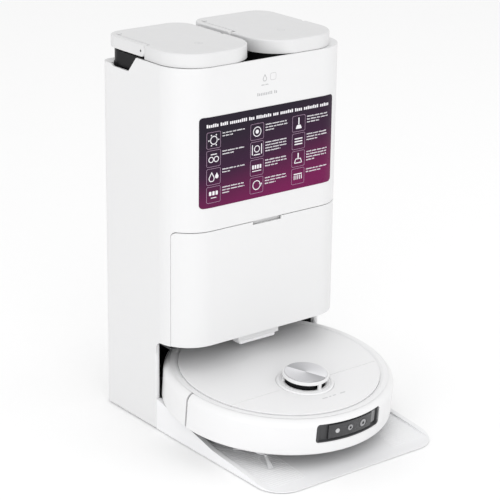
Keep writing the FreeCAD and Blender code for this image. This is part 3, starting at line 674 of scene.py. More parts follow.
@dataclass(frozen=True)
class PrintedFilm:
    """Self-adhesive film printed near black at the top and plum at the bottom."""

    name: str
    top: tuple = (0.016, 0.011, 0.021)
    middle: tuple = (0.035, 0.010, 0.034)
    bottom: tuple = (0.150, 0.008, 0.070)
    low: float = 0.36
    high: float = 0.496

    def build(self) -> bpy.types.Material:
        """Make the material: an upright gradient that reddens towards +X."""
        sheet = Sheet(self.name)
        axes = sheet.split(sheet.place)
        height = sheet.span(axes["Z"], 0.0, 1.0, self.low, self.high)
        across = sheet.span(axes["X"], -0.16, 0.16, -0.12, 0.12)
        ramp = sheet.node("ValToRGB", {"Fac": sheet.calc("SUBTRACT", height, across)})
        stops = ramp.color_ramp.elements
        stops[0].position, stops[0].color = 0.0, (*self.bottom, 1)
        stops[1].position, stops[1].color = 0.92, (*self.top, 1)
        stops.new(0.5).color = (*self.middle, 1)
        dots = sheet.span(sheet.cells(900.0), 0.94, 1.05)
        sheet.drive("Base Color", sheet.blend(1.0, ramp.outputs["Color"], dots, "MULTIPLY"))
        sheet.drive("Roughness", sheet.span(sheet.noise(40.0), 0.24, 0.34))
        sheet.bump(sheet.noise(90.0, 1.0), 0.15, 0.03)
        sheet.set(Specular_IOR_Level=0.12)
        return sheet.material


@dataclass(frozen=True)
class SpunMetal:
    """Aluminium disc brushed in circles about the turret's axis."""

    name: str
    # colours of the painted reflection: the darker part and the brightest part of each fan
    dark: tuple = (0.50, 0.50, 0.515)
    painted_highlight: tuple = (0.95, 0.95, 0.97)
    fold: float = math.radians(63.7)     # where each painted highlight fan starts, round the disc
    pitch: float = 2600.0                # rings in a metre

    def build(self) -> bpy.types.Material:
        """Make the material: fine rings, and fans of painted highlight in the base colour, brighter and darker by
        angle round the disc, that stand in for the reflections the rings throw.
        """
        sheet = Sheet(self.name)
        centre = (RAMP @ TURRET_PIVOT) * MM
        tilt = RAMP.to_euler()
        local = sheet.mapped(tuple(centre), tuple(tilt), (1, 1, 1), "TEXTURE")
        x, y, _ = sheet.split(local)
        angle = sheet.calc("ARCTAN2", y, x)
        squares = sheet.calc("ADD", sheet.calc("MULTIPLY", x, x), sheet.calc("MULTIPLY", y, y))
        radius = sheet.calc("SQRT", squares)
        rings = sheet.node("CombineXYZ", {0: sheet.calc("MULTIPLY", radius, self.pitch),
                                          1: sheet.calc("MULTIPLY", sheet.calc("COSINE", angle), 0.8)})
        grooves = sheet.noise(1.0, 3.0, rings.outputs[0])
        # painted highlight: the base colour sweeps from bright to dark round the disc, standing in for the rings'
        # reflection
        fan = sheet.calc("FRACT", sheet.calc("DIVIDE", sheet.calc("ADD", angle, self.fold), math.pi))
        broken = sheet.calc("SUBTRACT", fan, sheet.calc("MULTIPLY", grooves, 0.25))
        light = sheet.span(broken, 1.0, 0.0, -0.12, 0.80)
        sheet.drive("Base Color", sheet.blend(light, self.dark, self.painted_highlight))
        sheet.drive("Roughness", sheet.span(grooves, 0.22, 0.42))
        sheet.bump(grooves, 0.35, 0.02)
        offset = sheet.node("VectorMath", {0: sheet.place, 1: tuple(centre)}, operation="SUBTRACT")
        axis = tuple(RAMP.to_3x3() @ Vector((0, 0, 1)))
        spin = sheet.node("VectorMath", {0: axis, 1: offset.outputs[0]}, operation="CROSS_PRODUCT")
        sheet.drive("Tangent", spin.outputs[0])
        sheet.set(Metallic=1.0, Anisotropic=0.45)
        return sheet.material


@dataclass(frozen=True)
class Metal:
    """Plain or plated metal with a faint drawn grain."""

    name: str
    colour: tuple
    roughness: float = 0.3

    def build(self) -> bpy.types.Material:
        """Make the material: a grain stretched along X, and uneven polish."""
        sheet = Sheet(self.name)
        drawn = sheet.noise(900.0, 3.0, sheet.mapped(scale=(0.06, 1, 1)))
        sheet.drive("Base Color", sheet.blend(drawn, shade(self.colour, 0.85), shade(self.colour, 1.1)))
        sheet.drive("Roughness", sheet.span(drawn, self.roughness - 0.08, self.roughness + 0.1))
        sheet.bump(drawn, 0.2, 0.01)
        sheet.set(Metallic=1.0)
        return sheet.material


@dataclass(frozen=True)
class Pile:
    """Cloth with a pile: looped microfibre, fleece paper or a bristle bundle."""

    name: str
    colour: tuple
    loops: float
    depth: float
    sheen: float = 0.4

    def build(self) -> bpy.types.Material:
        """Make the material: loops and stray fibres in colour and relief."""
        sheet = Sheet(self.name)
        loops = sheet.cells(self.loops)
        fibres = sheet.noise(self.loops * 2.2, 4.0)
        both = sheet.calc("ADD", sheet.calc("MULTIPLY", loops, -0.8), fibres)
        sheet.drive("Base Color", sheet.blend(sheet.span(both, 0.0, 1.0, -0.3, 0.7),
                                              shade(self.colour, 0.72), shade(self.colour, 1.12)))
        sheet.drive("Roughness", sheet.span(fibres, 0.82, 0.98))
        sheet.bump(both, 0.8, self.depth)
        sheet.set(Sheen_Weight=self.sheen, Sheen_Roughness=0.6)
        return sheet.material


@dataclass(frozen=True)
class CircuitBoard:
    """Green solder mask over copper tracks."""

    name: str

    def build(self) -> bpy.types.Material:
        """Make the material: tracks from a fine brick pattern under the mask."""
        sheet = Sheet(self.name)
        tracks = sheet.node("TexBrick", {"Scale": 240.0, "Mortar Size": 0.08, "Vector": sheet.place,
                                         "Color1": (0.010, 0.090, 0.045, 1),
                                         "Color2": (0.014, 0.120, 0.060, 1),
                                         "Mortar": (0.060, 0.250, 0.110, 1)})
        sheet.drive("Base Color", tracks.outputs["Color"])
        sheet.drive("Roughness", sheet.span(sheet.noise(120.0), 0.3, 0.5))
        sheet.bump(tracks.outputs["Fac"], 0.5, 0.05)
        return sheet.material


class Palette:
    """All the finishes, by slot, and the few that vary a slot."""

    def __init__(self) -> None:
        """Build every material once."""
        recipes = {
            Slot.WHITE: Moulded("satin_white", (0.735, 0.735, 0.739), 0.42, specular=0.3),
            Slot.MATTE: Moulded("grained_white", (0.800, 0.800, 0.808), 0.55, 1100.0, 0.04),
            Slot.TANK: Moulded("smoked_black", (0.008, 0.008, 0.009), 0.34, 900.0, 0.008, 0.03, 0.12),
            Slot.DARK: Moulded("dark_texture", (0.045, 0.045, 0.049), 0.55, 1300.0, 0.05, 0.05, 0.35),
            Slot.GREY: Moulded("mid_grey", (0.50, 0.50, 0.515), 0.5, 1300.0, 0.03),
            Slot.LABEL: PrintedFilm("plum_film"),
            Slot.WINDOW: Moulded("smoked_gloss", (0.020, 0.020, 0.023), 0.12, 700.0, 0.004, 0.03, 0.5, 0.4),
            Slot.DISC: SpunMetal("spun_aluminium"),
            Slot.STEEL: Metal("plain_steel", (0.62, 0.62, 0.64)),
            Slot.CONTACT: Metal("plated_contact", (0.80, 0.68, 0.42), 0.25),
            Slot.RUBBER: Moulded("soft_rubber", (0.030, 0.030, 0.032), 0.72, 900.0, 0.05, 0.06, 0.3),
            Slot.TYRE: Moulded("tread_rubber", (0.035, 0.035, 0.037), 0.8, 700.0, 0.08, 0.08, 0.25),
            Slot.BAG: Pile("fleece_paper", (0.80, 0.79, 0.75), 900.0, 0.12, 0.15),
            Slot.MOP: Pile("looped_microfibre", (0.36, 0.37, 0.40), 520.0, 0.6),
            Slot.BRISTLE: Moulded("nylon_bristle", (0.82, 0.82, 0.83), 0.42, 1800.0, 0.02),
            Slot.BOARD: CircuitBoard("solder_mask"),
        }
        self.by_slot = {slot: recipe.build() for slot, recipe in recipes.items()}
        self.robot_top = Moulded("robot_white", (0.815, 0.815, 0.820), 0.40, specular=0.3).build()
        self.bumper = Moulded("bumper_white", (0.785, 0.785, 0.789), 0.38, specular=0.35).build()
        self.lid = Moulded("lid_white", (0.690, 0.690, 0.694), 0.5, 1200.0, 0.03, specular=0.3).build()
        self.tray = Moulded("tray_white", (0.830, 0.832, 0.842), 0.5, 1000.0, 0.03).build()
        self.tab = Moulded("beacon_white", (0.80, 0.80, 0.81), 0.3).build()
        self.ink = Moulded("white_ink", (0.78, 0.76, 0.79), 0.45, 2000.0, 0.005).build()
        self.faint_ink = Moulded("plum_ink", (0.42, 0.28, 0.40), 0.45, 2000.0, 0.005).build()
        self.mid_ink = Moulded("mid_grey_ink", (0.42, 0.42, 0.43), 0.45, 2000.0, 0.005).build()
        self.pale_ink = Moulded("pale_grey_ink", (0.60, 0.60, 0.61), 0.45, 2000.0, 0.005).build()
        self.recess = Moulded("recess_grey", (0.055, 0.055, 0.058), 0.5, 1200.0, 0.03, 0.04, 0.4).build()
        self.module = Moulded("module_gloss", (0.030, 0.030, 0.033), 0.18, 900.0, 0.005, 0.04,
                              coat=0.3).build()
        self.lens = Moulded("lens_grey", (0.26, 0.26, 0.27), 0.10, 500.0, 0.004, 0.1, 0.6, 1.0).build()
        self.panel = Moulded("panel_grey", (0.22, 0.22, 0.225), 0.4).build()
        self.lamp_glass = Moulded("lamp_glass", (0.52, 0.52, 0.53), 0.25, 500.0, 0.004, 0.05).build()

    def of(self, slot: Slot) -> bpy.types.Material:
        """The material of a slot."""
        return self.by_slot[slot]


# ---- studio -----------------------------------------------------------------
@dataclass
class Studio:
    """Pale floor, soft lamps and the camera."""

    azimuth: float = -38.22
    elevation: float = 19.26
    roll: float = 0.75
    target: tuple = (-0.00428, 0.04809, 0.26474)
    distance: float = 2.7955
    lens: float = 133.08
    floor_half: float = 14.0
    sky: float = 0.93
    lamps: tuple = (("key", (-1.6, -2.6, 2.9), 2.4, 6.5),      # name, place, side of its face, power
                    ("side", (2.8, -1.4, 1.8), 2.2, 8.5),
                    ("top", (0.0, 0.3, 3.4), 2.6, 5.0),
                    ("low", (-1.1, -3.2, 0.75), 2.2, 19.0),
                    ("flank", (-3.0, -1.6, 0.7), 1.8, 20.0))

    def build(self) -> None:
        """Set up the floor, the light and the camera."""
        self.lay_floor()
        self.light_sky()
        for name, spot, size, power in self.lamps:
            self.hang_lamp(name, spot, size, power)
        self.aim_camera()

    def lay_floor(self) -> None:
        """Lay a wide pale floor just under the feet."""
        form = bmesh.new()
        bmesh.ops.create_grid(form, x_segments=1, y_segments=1, size=self.floor_half,
                              matrix=Matrix.Translation((0, 0, -0.0004)))
        data = bpy.data.meshes.new("floor")
        form.to_mesh(data)
        form.free()
        paper = Moulded("floor_paper", (0.97, 0.97, 0.97), 0.9, 300.0, 0.02, 0.002, 0.1)
        data.materials.append(paper.build())
        floor = bpy.data.objects.new("floor", data)
        bpy.context.scene.collection.objects.link(floor)

    def light_sky(self) -> None:
        """Light everything evenly from all round."""
        world = bpy.data.worlds.new("studio_white")
        world.use_nodes = True
        background = world.node_tree.nodes["Background"]
        background.inputs["Color"].default_value = (1.0, 1.0, 1.0, 1.0)
        background.inputs["Strength"].default_value = self.sky
        scene = bpy.context.scene
        scene.world = world
        scene.view_settings.view_transform = "Standard"

    def hang_lamp(self, name: str, spot: Corner, size: float, power: float) -> None:
        """Hang a soft lamp that faces the object.

        Args:
            name: the lamp's name.
            spot: its place, in metres.
            size: the side of its square face, in metres.
            power: its power in watts.
        """
        lamp = bpy.data.lights.new(name, "AREA")
        lamp.size = size
        lamp.energy = power
        holder = bpy.data.objects.new(name, lamp)
        holder.location = spot
        aim = Vector(self.target) - Vector(spot)
        holder.rotation_euler = aim.to_track_quat("-Z", "Y").to_euler()
        bpy.context.scene.collection.objects.link(holder)

    def aim_camera(self) -> None:
        """Set the camera up at its angle, height and lens."""
        turn, rise, roll = (math.radians(v) for v in (self.azimuth, self.elevation, self.roll))
        back = Vector((math.sin(turn) * math.cos(rise), -math.cos(turn) * math.cos(rise), math.sin(rise)))
        right = Vector((math.cos(turn), math.sin(turn), 0.0))
        up = back.cross(right)
        cos, sin = math.cos(roll), math.sin(roll)
        right, up = right * cos + up * sin, up * cos - right * sin
        camera = bpy.data.cameras.new("camera")
        camera.lens = self.lens
        camera.sensor_width = 36.0
        camera.clip_end = 100.0
        holder = bpy.data.objects.new("camera", camera)
        pose = Matrix((right, up, back)).transposed().to_4x4()
        holder.matrix_world = Matrix.Translation(Vector(self.target) + back * self.distance) @ pose
        bpy.context.scene.collection.objects.link(holder)
        bpy.context.scene.camera = holder


# ---- station -----------------------------------------------------------------
@dataclass
class StationBody:
    """The tall white body, its dust door, its back and the parts that show in its openings."""

    palette: Palette
    rib_x: tuple = (-90.0, -45.0, 0.0, 45.0, 90.0)
    rib_z: tuple = (165.0, 235.0, 305.0)
    mark_z: float = 540.0
    front_y: float = 13.0

    def build(self) -> None:
        """Build the body's pieces in order."""
        self.refine_skins()
        self.stiffen_door()
        self.line_notch()
        self.print_mark()

    def refine_skins(self) -> None:
        """Round the edges of the moulded skins and dress them."""
        white = self.palette.of(Slot.WHITE)
        matte = self.palette.of(Slot.MATTE)
        skins = (("station_housing", "station", Slot.WHITE, white, 0.9),
                 ("rear_cover", "station", Slot.MATTE, matte, 0.5),
                 ("dust_door", "dust_door", Slot.WHITE, white, 0.7),
                 ("beacon_housing", "station", Slot.WHITE, white, 1.2),
                 ("beacon_lens", "station", Slot.WHITE, self.palette.tab, 1.6),
                 ("bay_frame", "station", Slot.GREY, self.palette.of(Slot.GREY), 0.4),
                 ("tank_deck", "station", Slot.DARK, self.palette.of(Slot.DARK), 0.4),
                 ("mains_inlet", "station", Slot.DARK, self.palette.of(Slot.DARK), 0.3),
                 ("rubber_feet", "station", Slot.RUBBER, self.palette.of(Slot.RUBBER), 0.25))
        for node, body, slot, finish, width in skins:
            Form.copy_of(node).round_edges(width).finish(node + "_skin", body, slot, finish, [node])

    def stiffen_door(self) -> None:
        """Add the upright ribs and the catch inside the dust door."""
        ribs = Form()
        for x in self.rib_x:
            ribs.slab((x - 0.8, x + 0.8), (15.8, 19.4), (158.0, 312.0))
        for z in self.rib_z:
            ribs.slab((-104.0, 104.0), (15.8, 18.6), (z - 0.8, z + 0.8))
        ribs.slab((-12.0, 12.0), (15.8, 21.5), (310.0, 313.0))
        ribs.round_edges(0.3)
        ribs.finish("door_ribs", "dust_door", Slot.WHITE, self.palette.of(Slot.WHITE))

    def line_notch(self) -> None:
        """Set a pale lip behind the finger notch over the door."""
        lip = Form().port((-34.0, 34.0), (18.6, 20.4), (316.2, 326.0), 1.6)
        lip.round_edges(0.4)
        lip.finish("notch_lip", "station", Slot.GREY, self.palette.lid)

    def print_mark(self) -> None:
        """Print a small generic mark over the label: a drop, a tile and two lines."""
        mark = Printing(self.front_y)
        mark.hollow(mark.drop(-8.6, self.mark_z, 11.0), 1.1)
        mark.tile(7.0, self.mark_z, 10.6, 0.5, 2.4)
        mark.words(-14.6, -1.0, self.mark_z - 11.4, 1.7, 1.5, random.Random(3), 0.5)
        mark.words(-22.0, 18.0, self.mark_z - 26.0, 4.6, 3.2, random.Random(6), 1.5)
        mark.finish("front_mark", self.palette.mid_ink, Slot.GREY)


class Printing:
    """Flat ink shapes laid on the front of the body, which curves back at its two corners."""

    flat_half = 103.0
    corner_radius = 56.0
    cuts = (104.0, 107.0, 110.0, 112.5, 115.0, 117.5, 120.0, 122.5)

    def __init__(self, front_y: float) -> None:
        """Start an empty print.

        Args:
            front_y: the surface that it lies on.
        """
        self.form = Form()
        self.front_y = front_y

    def shape(self, corners: Sequence[Corner], radii: Sequence[float]) -> bmesh.types.BMFace:
        """Lay a filled shape given by (x, z) corners and their radii."""
        return self.form.outline([(x, 0, z) for x, z in corners], radii, 4)

    def bar(self, x0: float, x1: float, z0: float, z1: float, radius: float = 0.0) -> bmesh.types.BMFace:
        """Lay a filled rectangle, with rounded corners if a radius is given."""
        return self.shape(((x0, z0), (x1, z0), (x1, z1), (x0, z1)), (radius,) * 4)

    def hollow(self, face: bmesh.types.BMFace, width: float) -> None:
        """Leave only a line of that width along a shape's edge."""
        bmesh.ops.inset_individual(self.form.mesh, faces=[face], thickness=width, use_even_offset=True)
        bmesh.ops.delete(self.form.mesh, geom=[face], context="FACES_ONLY")

    def tile(self, x: float, z: float, size: float, width: float, radius: float) -> None:
        """Lay the line of a rounded square about a middle."""
        half = size / 2
        self.hollow(self.bar(x - half, x + half, z - half, z + half, radius), width)

    def round(self, x: float, z: float, radius: float) -> bmesh.types.BMFace:
        """Lay a filled circle."""
        place = Matrix.Translation((x, 0, z)) @ Matrix.Rotation(math.pi / 2, 4, "X")
        known = set(self.form.mesh.faces)
        bmesh.ops.create_circle(self.form.mesh, cap_ends=True, segments=28, radius=radius, matrix=place)
        return next(f for f in self.form.mesh.faces if f not in known)

    def hoop(self, x: float, z: float, radius: float, width: float) -> None:
        """Lay the line of a circle."""
        self.hollow(self.round(x, z, radius), width)

    def drop(self, x: float, z: float, size: float) -> bmesh.types.BMFace:
        """Lay a water drop about a middle."""
        s = size / 2
        corners = ((x, z + s), (x - 0.72 * s, z - 0.25 * s), (x - 0.5 * s, z - s), (x + 0.5 * s, z - s),
                   (x + 0.72 * s, z - 0.25 * s))
        return self.shape(corners, (0.0, 0.5 * s, 0.45 * s, 0.45 * s, 0.5 * s))

    def words(self, x0: float, x1: float, z: float, height: float, pitch: float, rng: random.Random,
              gap: float = 0.55) -> None:
        """Lay a line of upright strokes, grouped like words.

        Args:
            x0: start of the line.
            x1: longest end of the line.
            z: its foot.
            height: height of a stroke.
            pitch: step from stroke to stroke.
            rng: source of the word lengths.
            gap: space between two strokes.
        """
        x = x0
        while x < x1 - pitch:
            for _ in range(rng.randint(3, 9)):
                if x > x1 - pitch:
                    break
                lift = rng.choice((0.0, 0.0, 0.18)) * height
                self.bar(x, x + pitch - gap, z, z + height * 0.82 + lift)
                x += pitch
            x += pitch * 0.8

    def front_of(self, x: float) -> float:
        """Y of the body's surface at an X."""
        past = max(0.0, abs(x) - self.flat_half)
        return self.front_y + self.corner_radius - math.sqrt(self.corner_radius ** 2 - past ** 2)

    def finish(self, name: str, ink: bpy.types.Material, slot: Slot, lift: float = 0.12) -> bpy.types.Object:
        """Wrap the print round the corners, give it thickness and make it a piece.

        Args:
            name: the piece's name.
            ink: its material.
            slot: its material slot.
            lift: how far the ink stands out.

        Returns:
            The finished object.
        """
        mesh = self.form.mesh
        for cut in self.cuts:
            for x in (-cut, cut):
                self.form.slice((x, 0, 0), (1, 0, 0))
        for vert in mesh.verts:
            vert.co.y = self.front_of(vert.co.x) + 0.03
        bmesh.ops.translate(mesh, vec=(0, -lift, 0), verts=self.form.extrude(mesh.faces[:])[0])
        bmesh.ops.recalc_face_normals(mesh, faces=mesh.faces)
        return self.form.finish(name, "station", slot, ink)


class Sign(Enum):
    """The label's twelve plain signs, row by row."""

    SUN = 0
    DISC = 1
    BROOM = 2
    GLASSES = 3
    DRUM = 4
    SHELVES = 5
    DROPS = 6
    KEYS = 7
    SCOOP = 8
    TEETH = 9
    LOOP = 10
    COMB = 11


@dataclass
class FrontLabel:
    """The printed film on the front, with its rows of generic icons and word-like lines."""

    palette: Palette
    top: float = 496.0
    columns: tuple = (-113.0, -34.0, 44.5)
    first_row: float = 22.5
    row_pitch: float = 27.2
    icon: float = 24.6
    line: float = 0.45
    text_width: float = 41.0
    surface: float = 12.6
    text_lines: tuple = (2, 3, 3, 2, 4, 3, 2, 3, 4, 3, 3, 2)
    text_end: float = 120.5
    stroke: float = 1.3

    def build(self) -> None:
        """Dress the film and lay the print on it."""
        film = Form.copy_of("feature_label")
        film.finish("label_film", "station", Slot.LABEL, self.palette.of(Slot.LABEL), ["feature_label"])
        rng = random.Random(11)
        ink = Printing(self.surface)
        ink.words(-113.0, 119.0, self.top - 15.6, 4.9, 3.55, rng, 1.0)
        tiles = Printing(self.surface)
        for sign, lines in zip(Sign, self.text_lines):
            row, column = divmod(sign.value, len(self.columns))
            x = self.columns[column]
            top = self.top - self.first_row - row * self.row_pitch
            middle = (x + self.icon / 2, top - self.icon / 2)
            tiles.tile(*middle, self.icon, self.line, 2.4)
            self.draw_sign(ink, sign, *middle)
            foot = top - 5.0
            for index in range(lines):
                reach = self.text_width * (1.0 if index < lines - 1 else rng.uniform(0.35, 0.8))
                start = x + self.icon + 3.5
                ink.words(start, min(start + reach, self.text_end), foot, 1.9, 1.62, rng)
                foot -= 4.3
        ink.finish("label_ink", self.palette.ink, Slot.LABEL)
        tiles.finish("label_tiles", self.palette.faint_ink, Slot.LABEL)

    def draw_sign(self, ink: Printing, sign: Sign, x: float, z: float) -> None:
        """Draw one of the signs in its tile.

        Args:
            ink: the print to draw in.
            sign: which sign.
            x: middle of the tile, across.
            z: middle of the tile, up.
        """
        w = self.stroke
        if sign is Sign.SUN:
            ink.hoop(x, z, 6.5, w)
            for turn in range(6):
                angle = turn * TURN / 6
                ink.round(x + 8.6 * math.cos(angle), z + 8.6 * math.sin(angle), 1.1)
        elif sign is Sign.DISC:
            ink.hoop(x, z, 7.6, w)
            ink.round(x, z, 3.0)
        elif sign is Sign.BROOM:
            ink.bar(x - 1.0, x + 1.0, z - 2.0, z + 9.0, 0.6)
            ink.shape(((x - 6, z - 8), (x + 6, z - 8), (x + 3.4, z - 2.4), (x - 3.4, z - 2.4)), (1,) * 4)
        elif sign is Sign.GLASSES:
            ink.hoop(x - 4.6, z - 1.5, 4.6, w)
            ink.hoop(x + 4.6, z - 1.5, 4.6, w)
            ink.bar(x - 5.5, x + 5.5, z + 5.4, z + 6.8, 0.5)
        elif sign is Sign.DRUM:
            ink.hoop(x, z + 1.0, 5.4, w)
            for side in (-1, 1):
                ink.bar(x + side * 8.5 - 0.8, x + side * 8.5 + 0.8, z - 7.5, z + 8.0, 0.6)
            ink.bar(x - 6.0, x + 6.0, z - 8.4, z - 6.9, 0.5)
        elif sign is Sign.SHELVES:
            for step in (-1, 0, 1):
                ink.bar(x - 7.5, x + 7.5, z + step * 4.2 - 1.2, z + step * 4.2 + 0.6, 0.6)
        elif sign is Sign.DROPS:
            ink.hollow(ink.drop(x - 3.6, z, 15.0), w)
            ink.drop(x + 5.6, z + 1.0, 9.0)
        elif sign is Sign.KEYS:
            for column in range(4):
                ink.bar(x - 8.6 + column * 4.6, x - 5.4 + column * 4.6, z - 2.0, z + 4.0, 0.5)
            ink.bar(x - 8.6, x + 8.4, z - 5.8, z - 4.6, 0.4)
        elif sign is Sign.SCOOP:
            ink.bar(x - 1.1, x + 1.1, z + 1.0, z + 8.8, 0.6)
            pan = ((x - 8, z - 7), (x + 8, z - 7), (x + 5, z + 0.6), (x - 5, z + 0.6))
            ink.hollow(ink.shape(pan, (1.4,) * 4), w)
        elif sign is Sign.TEETH:
            for column in range(3):
                ink.bar(x - 8.0 + column * 5.8, x - 4.0 + column * 5.8, z - 1.0, z + 5.0, 0.9)
            ink.bar(x - 5.0, x + 5.0, z - 5.4, z - 4.2, 0.4)
        elif sign is Sign.LOOP:
            ink.hoop(x, z, 7.4, w)
            ink.shape(((x + 4.5, z + 2.0), (x + 10.4, z + 2.0), (x + 7.4, z - 3.4)), (0.3,) * 3)
        else:
            ink.bar(x - 8.0, x + 8.0, z + 2.6, z + 4.2, 0.7)
            for column in range(5):
                ink.bar(x - 7.6 + column * 3.5, x - 6.2 + column * 3.5, z - 5.0, z + 1.6, 0.5)


@dataclass
class RampTray:
    """The ramp with its grip ribs and rails, and the wash tray in it."""

    palette: Palette
    slope: float = math.radians(5.5)
    rib_x: tuple = (87.5, 147.5)
    rib_y: tuple = (-190.0, 40.0)
    rib_pitch: float = 4.6
    rib_height: float = 0.3
    rib_sink: float = 0.4
    bead_x: float = 83.6
    bead_width: float = 1.2
    rail_x: float = 159.0

    def surface(self, y: float) -> float:
        """Height of the ramp at a Y."""
        return 20.1 + (y + 13.8) * math.tan(self.slope)

    def build(self) -> None:
        """Build the tray, its ribs and its marks."""
        for node, name, slot, finish, width in (
                ("base_tray", "ramp_tray", Slot.MATTE, self.palette.tray, 1.0),
                ("wash_tray", "wash_tray_skin", Slot.GREY, self.palette.of(Slot.GREY), 0.6)):
            Form.copy_of(node).round_edges(width).finish(name, "station", slot, finish, [node])
        self.add_ribs()
        self.add_rail_mark()

    def add_ribs(self) -> None:
        """Lay the fine cross ribs that the wheels climb, and the bead beside them."""
        ribs = Form()
        x0, x1 = self.rib_x
        y0, y1 = self.rib_y
        low, high = -self.rib_sink, self.rib_height
        y = y0
        while y < y1:
            z = self.surface(y)
            ribs.prism([(x0, y - 0.7, z + low), (x0, y + 0.7, z + low), (x0, y + 0.35, z + high),
                        (x0, y - 0.35, z + high)], (0,) * 4, (x1 - x0, 0, 0))
            y += self.rib_pitch
        x, z0, z1 = self.bead_x, self.surface(y0), self.surface(y1)
        ribs.prism([(x, y0, z0 + low), (x, y1, z1 + low), (x, y1, z1 + high), (x, y0, z0 + high)],
                   (0,) * 4, (self.bead_width, 0, 0))
        bmesh.ops.recalc_face_normals(ribs.mesh, faces=ribs.mesh.faces)
        ribs.mirrored()
        ribs.finish("grip_ribs", "station", Slot.MATTE, self.palette.tray)

    def add_rail_mark(self) -> None:
        """Raise a long oval on the outer face of each rail."""
        marks = Form()
        x = self.rail_x - 0.2
        face = marks.outline([(x, -88, 6.4), (x, -60, 8.4), (x, -60, 14.4), (x, -88, 12.4)], (2.9,) * 4, 6)
        marks.raise_face(face, (0.4, 0, 0))
        bmesh.ops.recalc_face_normals(marks.mesh, faces=marks.mesh.faces)
        marks.mirrored()
        marks.finish("rail_marks", "station", Slot.MATTE, self.palette.tray)


@dataclass
class WaterTank:
    """One lift-out tank: its black body, its lid and its bail handle."""

    palette: Palette
    side: Side
    shift: float = -6.0
    inner: float = 6.0
    outer: float = 149.5
    front: float = 15.0
    back: float = 213.5
    corner: float = 30.0
    top: float = 589.0
    pivot_y: float = 116.0
    pivot_z: float = 579.55

    @property
    def name(self) -> str:
        """The tank's name, which its bodies start with."""
        return self.side.name.lower()

    def across(self, reach: float) -> float:
        """X of a point that far from the line between the tanks."""
        return self.shift + self.side.value * reach

    def build(self) -> None:
        """Build the tank's pieces."""
        black = self.palette.of(Slot.TANK)
        body = Form.copy_of(self.name + "_tank").round_edges(0.6)
        body.finish(self.name + "_tank_body", self.name + "_tank", Slot.TANK, black, [self.name + "_tank"])
        self.build_lid()
        handle = Form.copy_of(self.name + "_tank_handle").round_edges(1.8, 3, 32.0, self.on_rim)
        handle.finish(self.name + "_bail", self.name + "_handle", Slot.MATTE, self.palette.lid,
                      [self.name + "_tank_handle"])
        self.add_pivot_caps()
        self.add_marks()

    def on_rim(self, point: Vector) -> bool:
        """Whether a point is near the outer outline of the lid and its bail."""
        half = (self.outer - self.inner) / 2 - self.corner
        aside = max(abs(point.x - self.across(self.inner + half + self.corner)) - half, 0.0)
        behind = max(point.y - self.back + self.corner, 0.0)
        return math.hypot(aside, behind) > self.corner - 2.5

    def build_lid(self) -> None:
        """Round the lid's edges and run the joint line round its side."""
        lid = Form.copy_of(self.name + "_tank_lid")
        lid.round_edges(0.9, 2, 32.0, lambda p: p.y < self.pivot_y - 10)
        self.groove(lid, 576.2, 577.0, 0.4)
        lid.finish(self.name + "_lid", self.name + "_lid", Slot.MATTE, self.palette.lid,
                   [self.name + "_tank_lid"])

    def groove(self, form: Form, low: float, high: float, depth: float) -> None:
        """Sink a line into the lid's outer side.

        Args:
            form: the lid.
            low: bottom of the line.
            high: top of the line.
            depth: how deep it goes.
        """
        for z in (low, high):
            form.slice((0, 0, z), (0, 0, 1))
        middle = Vector((self.across((self.inner + self.outer) / 2), (self.front + self.back) / 2, 0))
        band = []
        for face in form.mesh.faces:
            centre = face.calc_center_median()
            outward = (centre - middle).dot(face.normal) > 0
            if low < centre.z < high and outward and abs(face.normal.z) < 0.2 and centre.y < self.pivot_y - 9:
                band.append(face)
        if not band:
            return
        for vert in form.extrude(band)[0]:
            away = Vector((vert.co.x - middle.x, vert.co.y - middle.y, 0))
            vert.co -= away.normalized() * depth

    def add_pivot_caps(self) -> None:
        """Set a dark plug in each end of the bail's pivot."""
        caps = Form()
        for reach, outward in ((self.inner, -1), (self.outer, 1)):
            turn = Matrix.Rotation(self.side.value * outward * math.pi / 2, 4, "Y")
            place = Matrix.Translation((self.across(reach), self.pivot_y, self.pivot_z))
            caps.turn([(0, -0.5), (1.7, -0.5), (1.7, 0.2), (0, 0.2)], (0, 0, 0.2, 0), 24, place @ turn, 2)
        caps.finish(self.name + "_pivot_caps", self.name + "_handle", Slot.DARK,
                    self.palette.of(Slot.DARK))

    def add_marks(self) -> None:
        """Emboss a ring on the lid, with a dot on the dirty tank's, and lay a small dark slab on it as painted
        shade for a slot.
        """
        sign = Form()
        place = Matrix.Translation((self.across(76.0), 75.0, self.top))
        sign.turn([(5.4, -0.1), (6.4, -0.1), (6.4, 0.12), (5.4, 0.12)], (0,) * 4, 48, place)
        if self.side is Side.DIRTY:
            sign.turn([(0, -0.1), (2.0, -0.1), (2.0, 0.12), (0, 0.12)], (0,) * 4, 32, place)
        sign.finish(self.name + "_lid_sign", self.name + "_lid", Slot.GREY, self.palette.pale_ink)
        # painted shade: a flat dark slab stands in for the shade inside a small slot in the lid
        slots = Form()
        left = min(self.across(self.inner), self.across(self.outer)) + 10.0
        slots.slab((left, left + 6.5), (187.0, 188.4), (self.top - 0.4, self.top + 0.08), 0.6, 0.6, 3)
        slots.finish(self.name + "_lid_slot_shade", self.name + "_lid", Slot.DARK, self.palette.of(Slot.DARK))


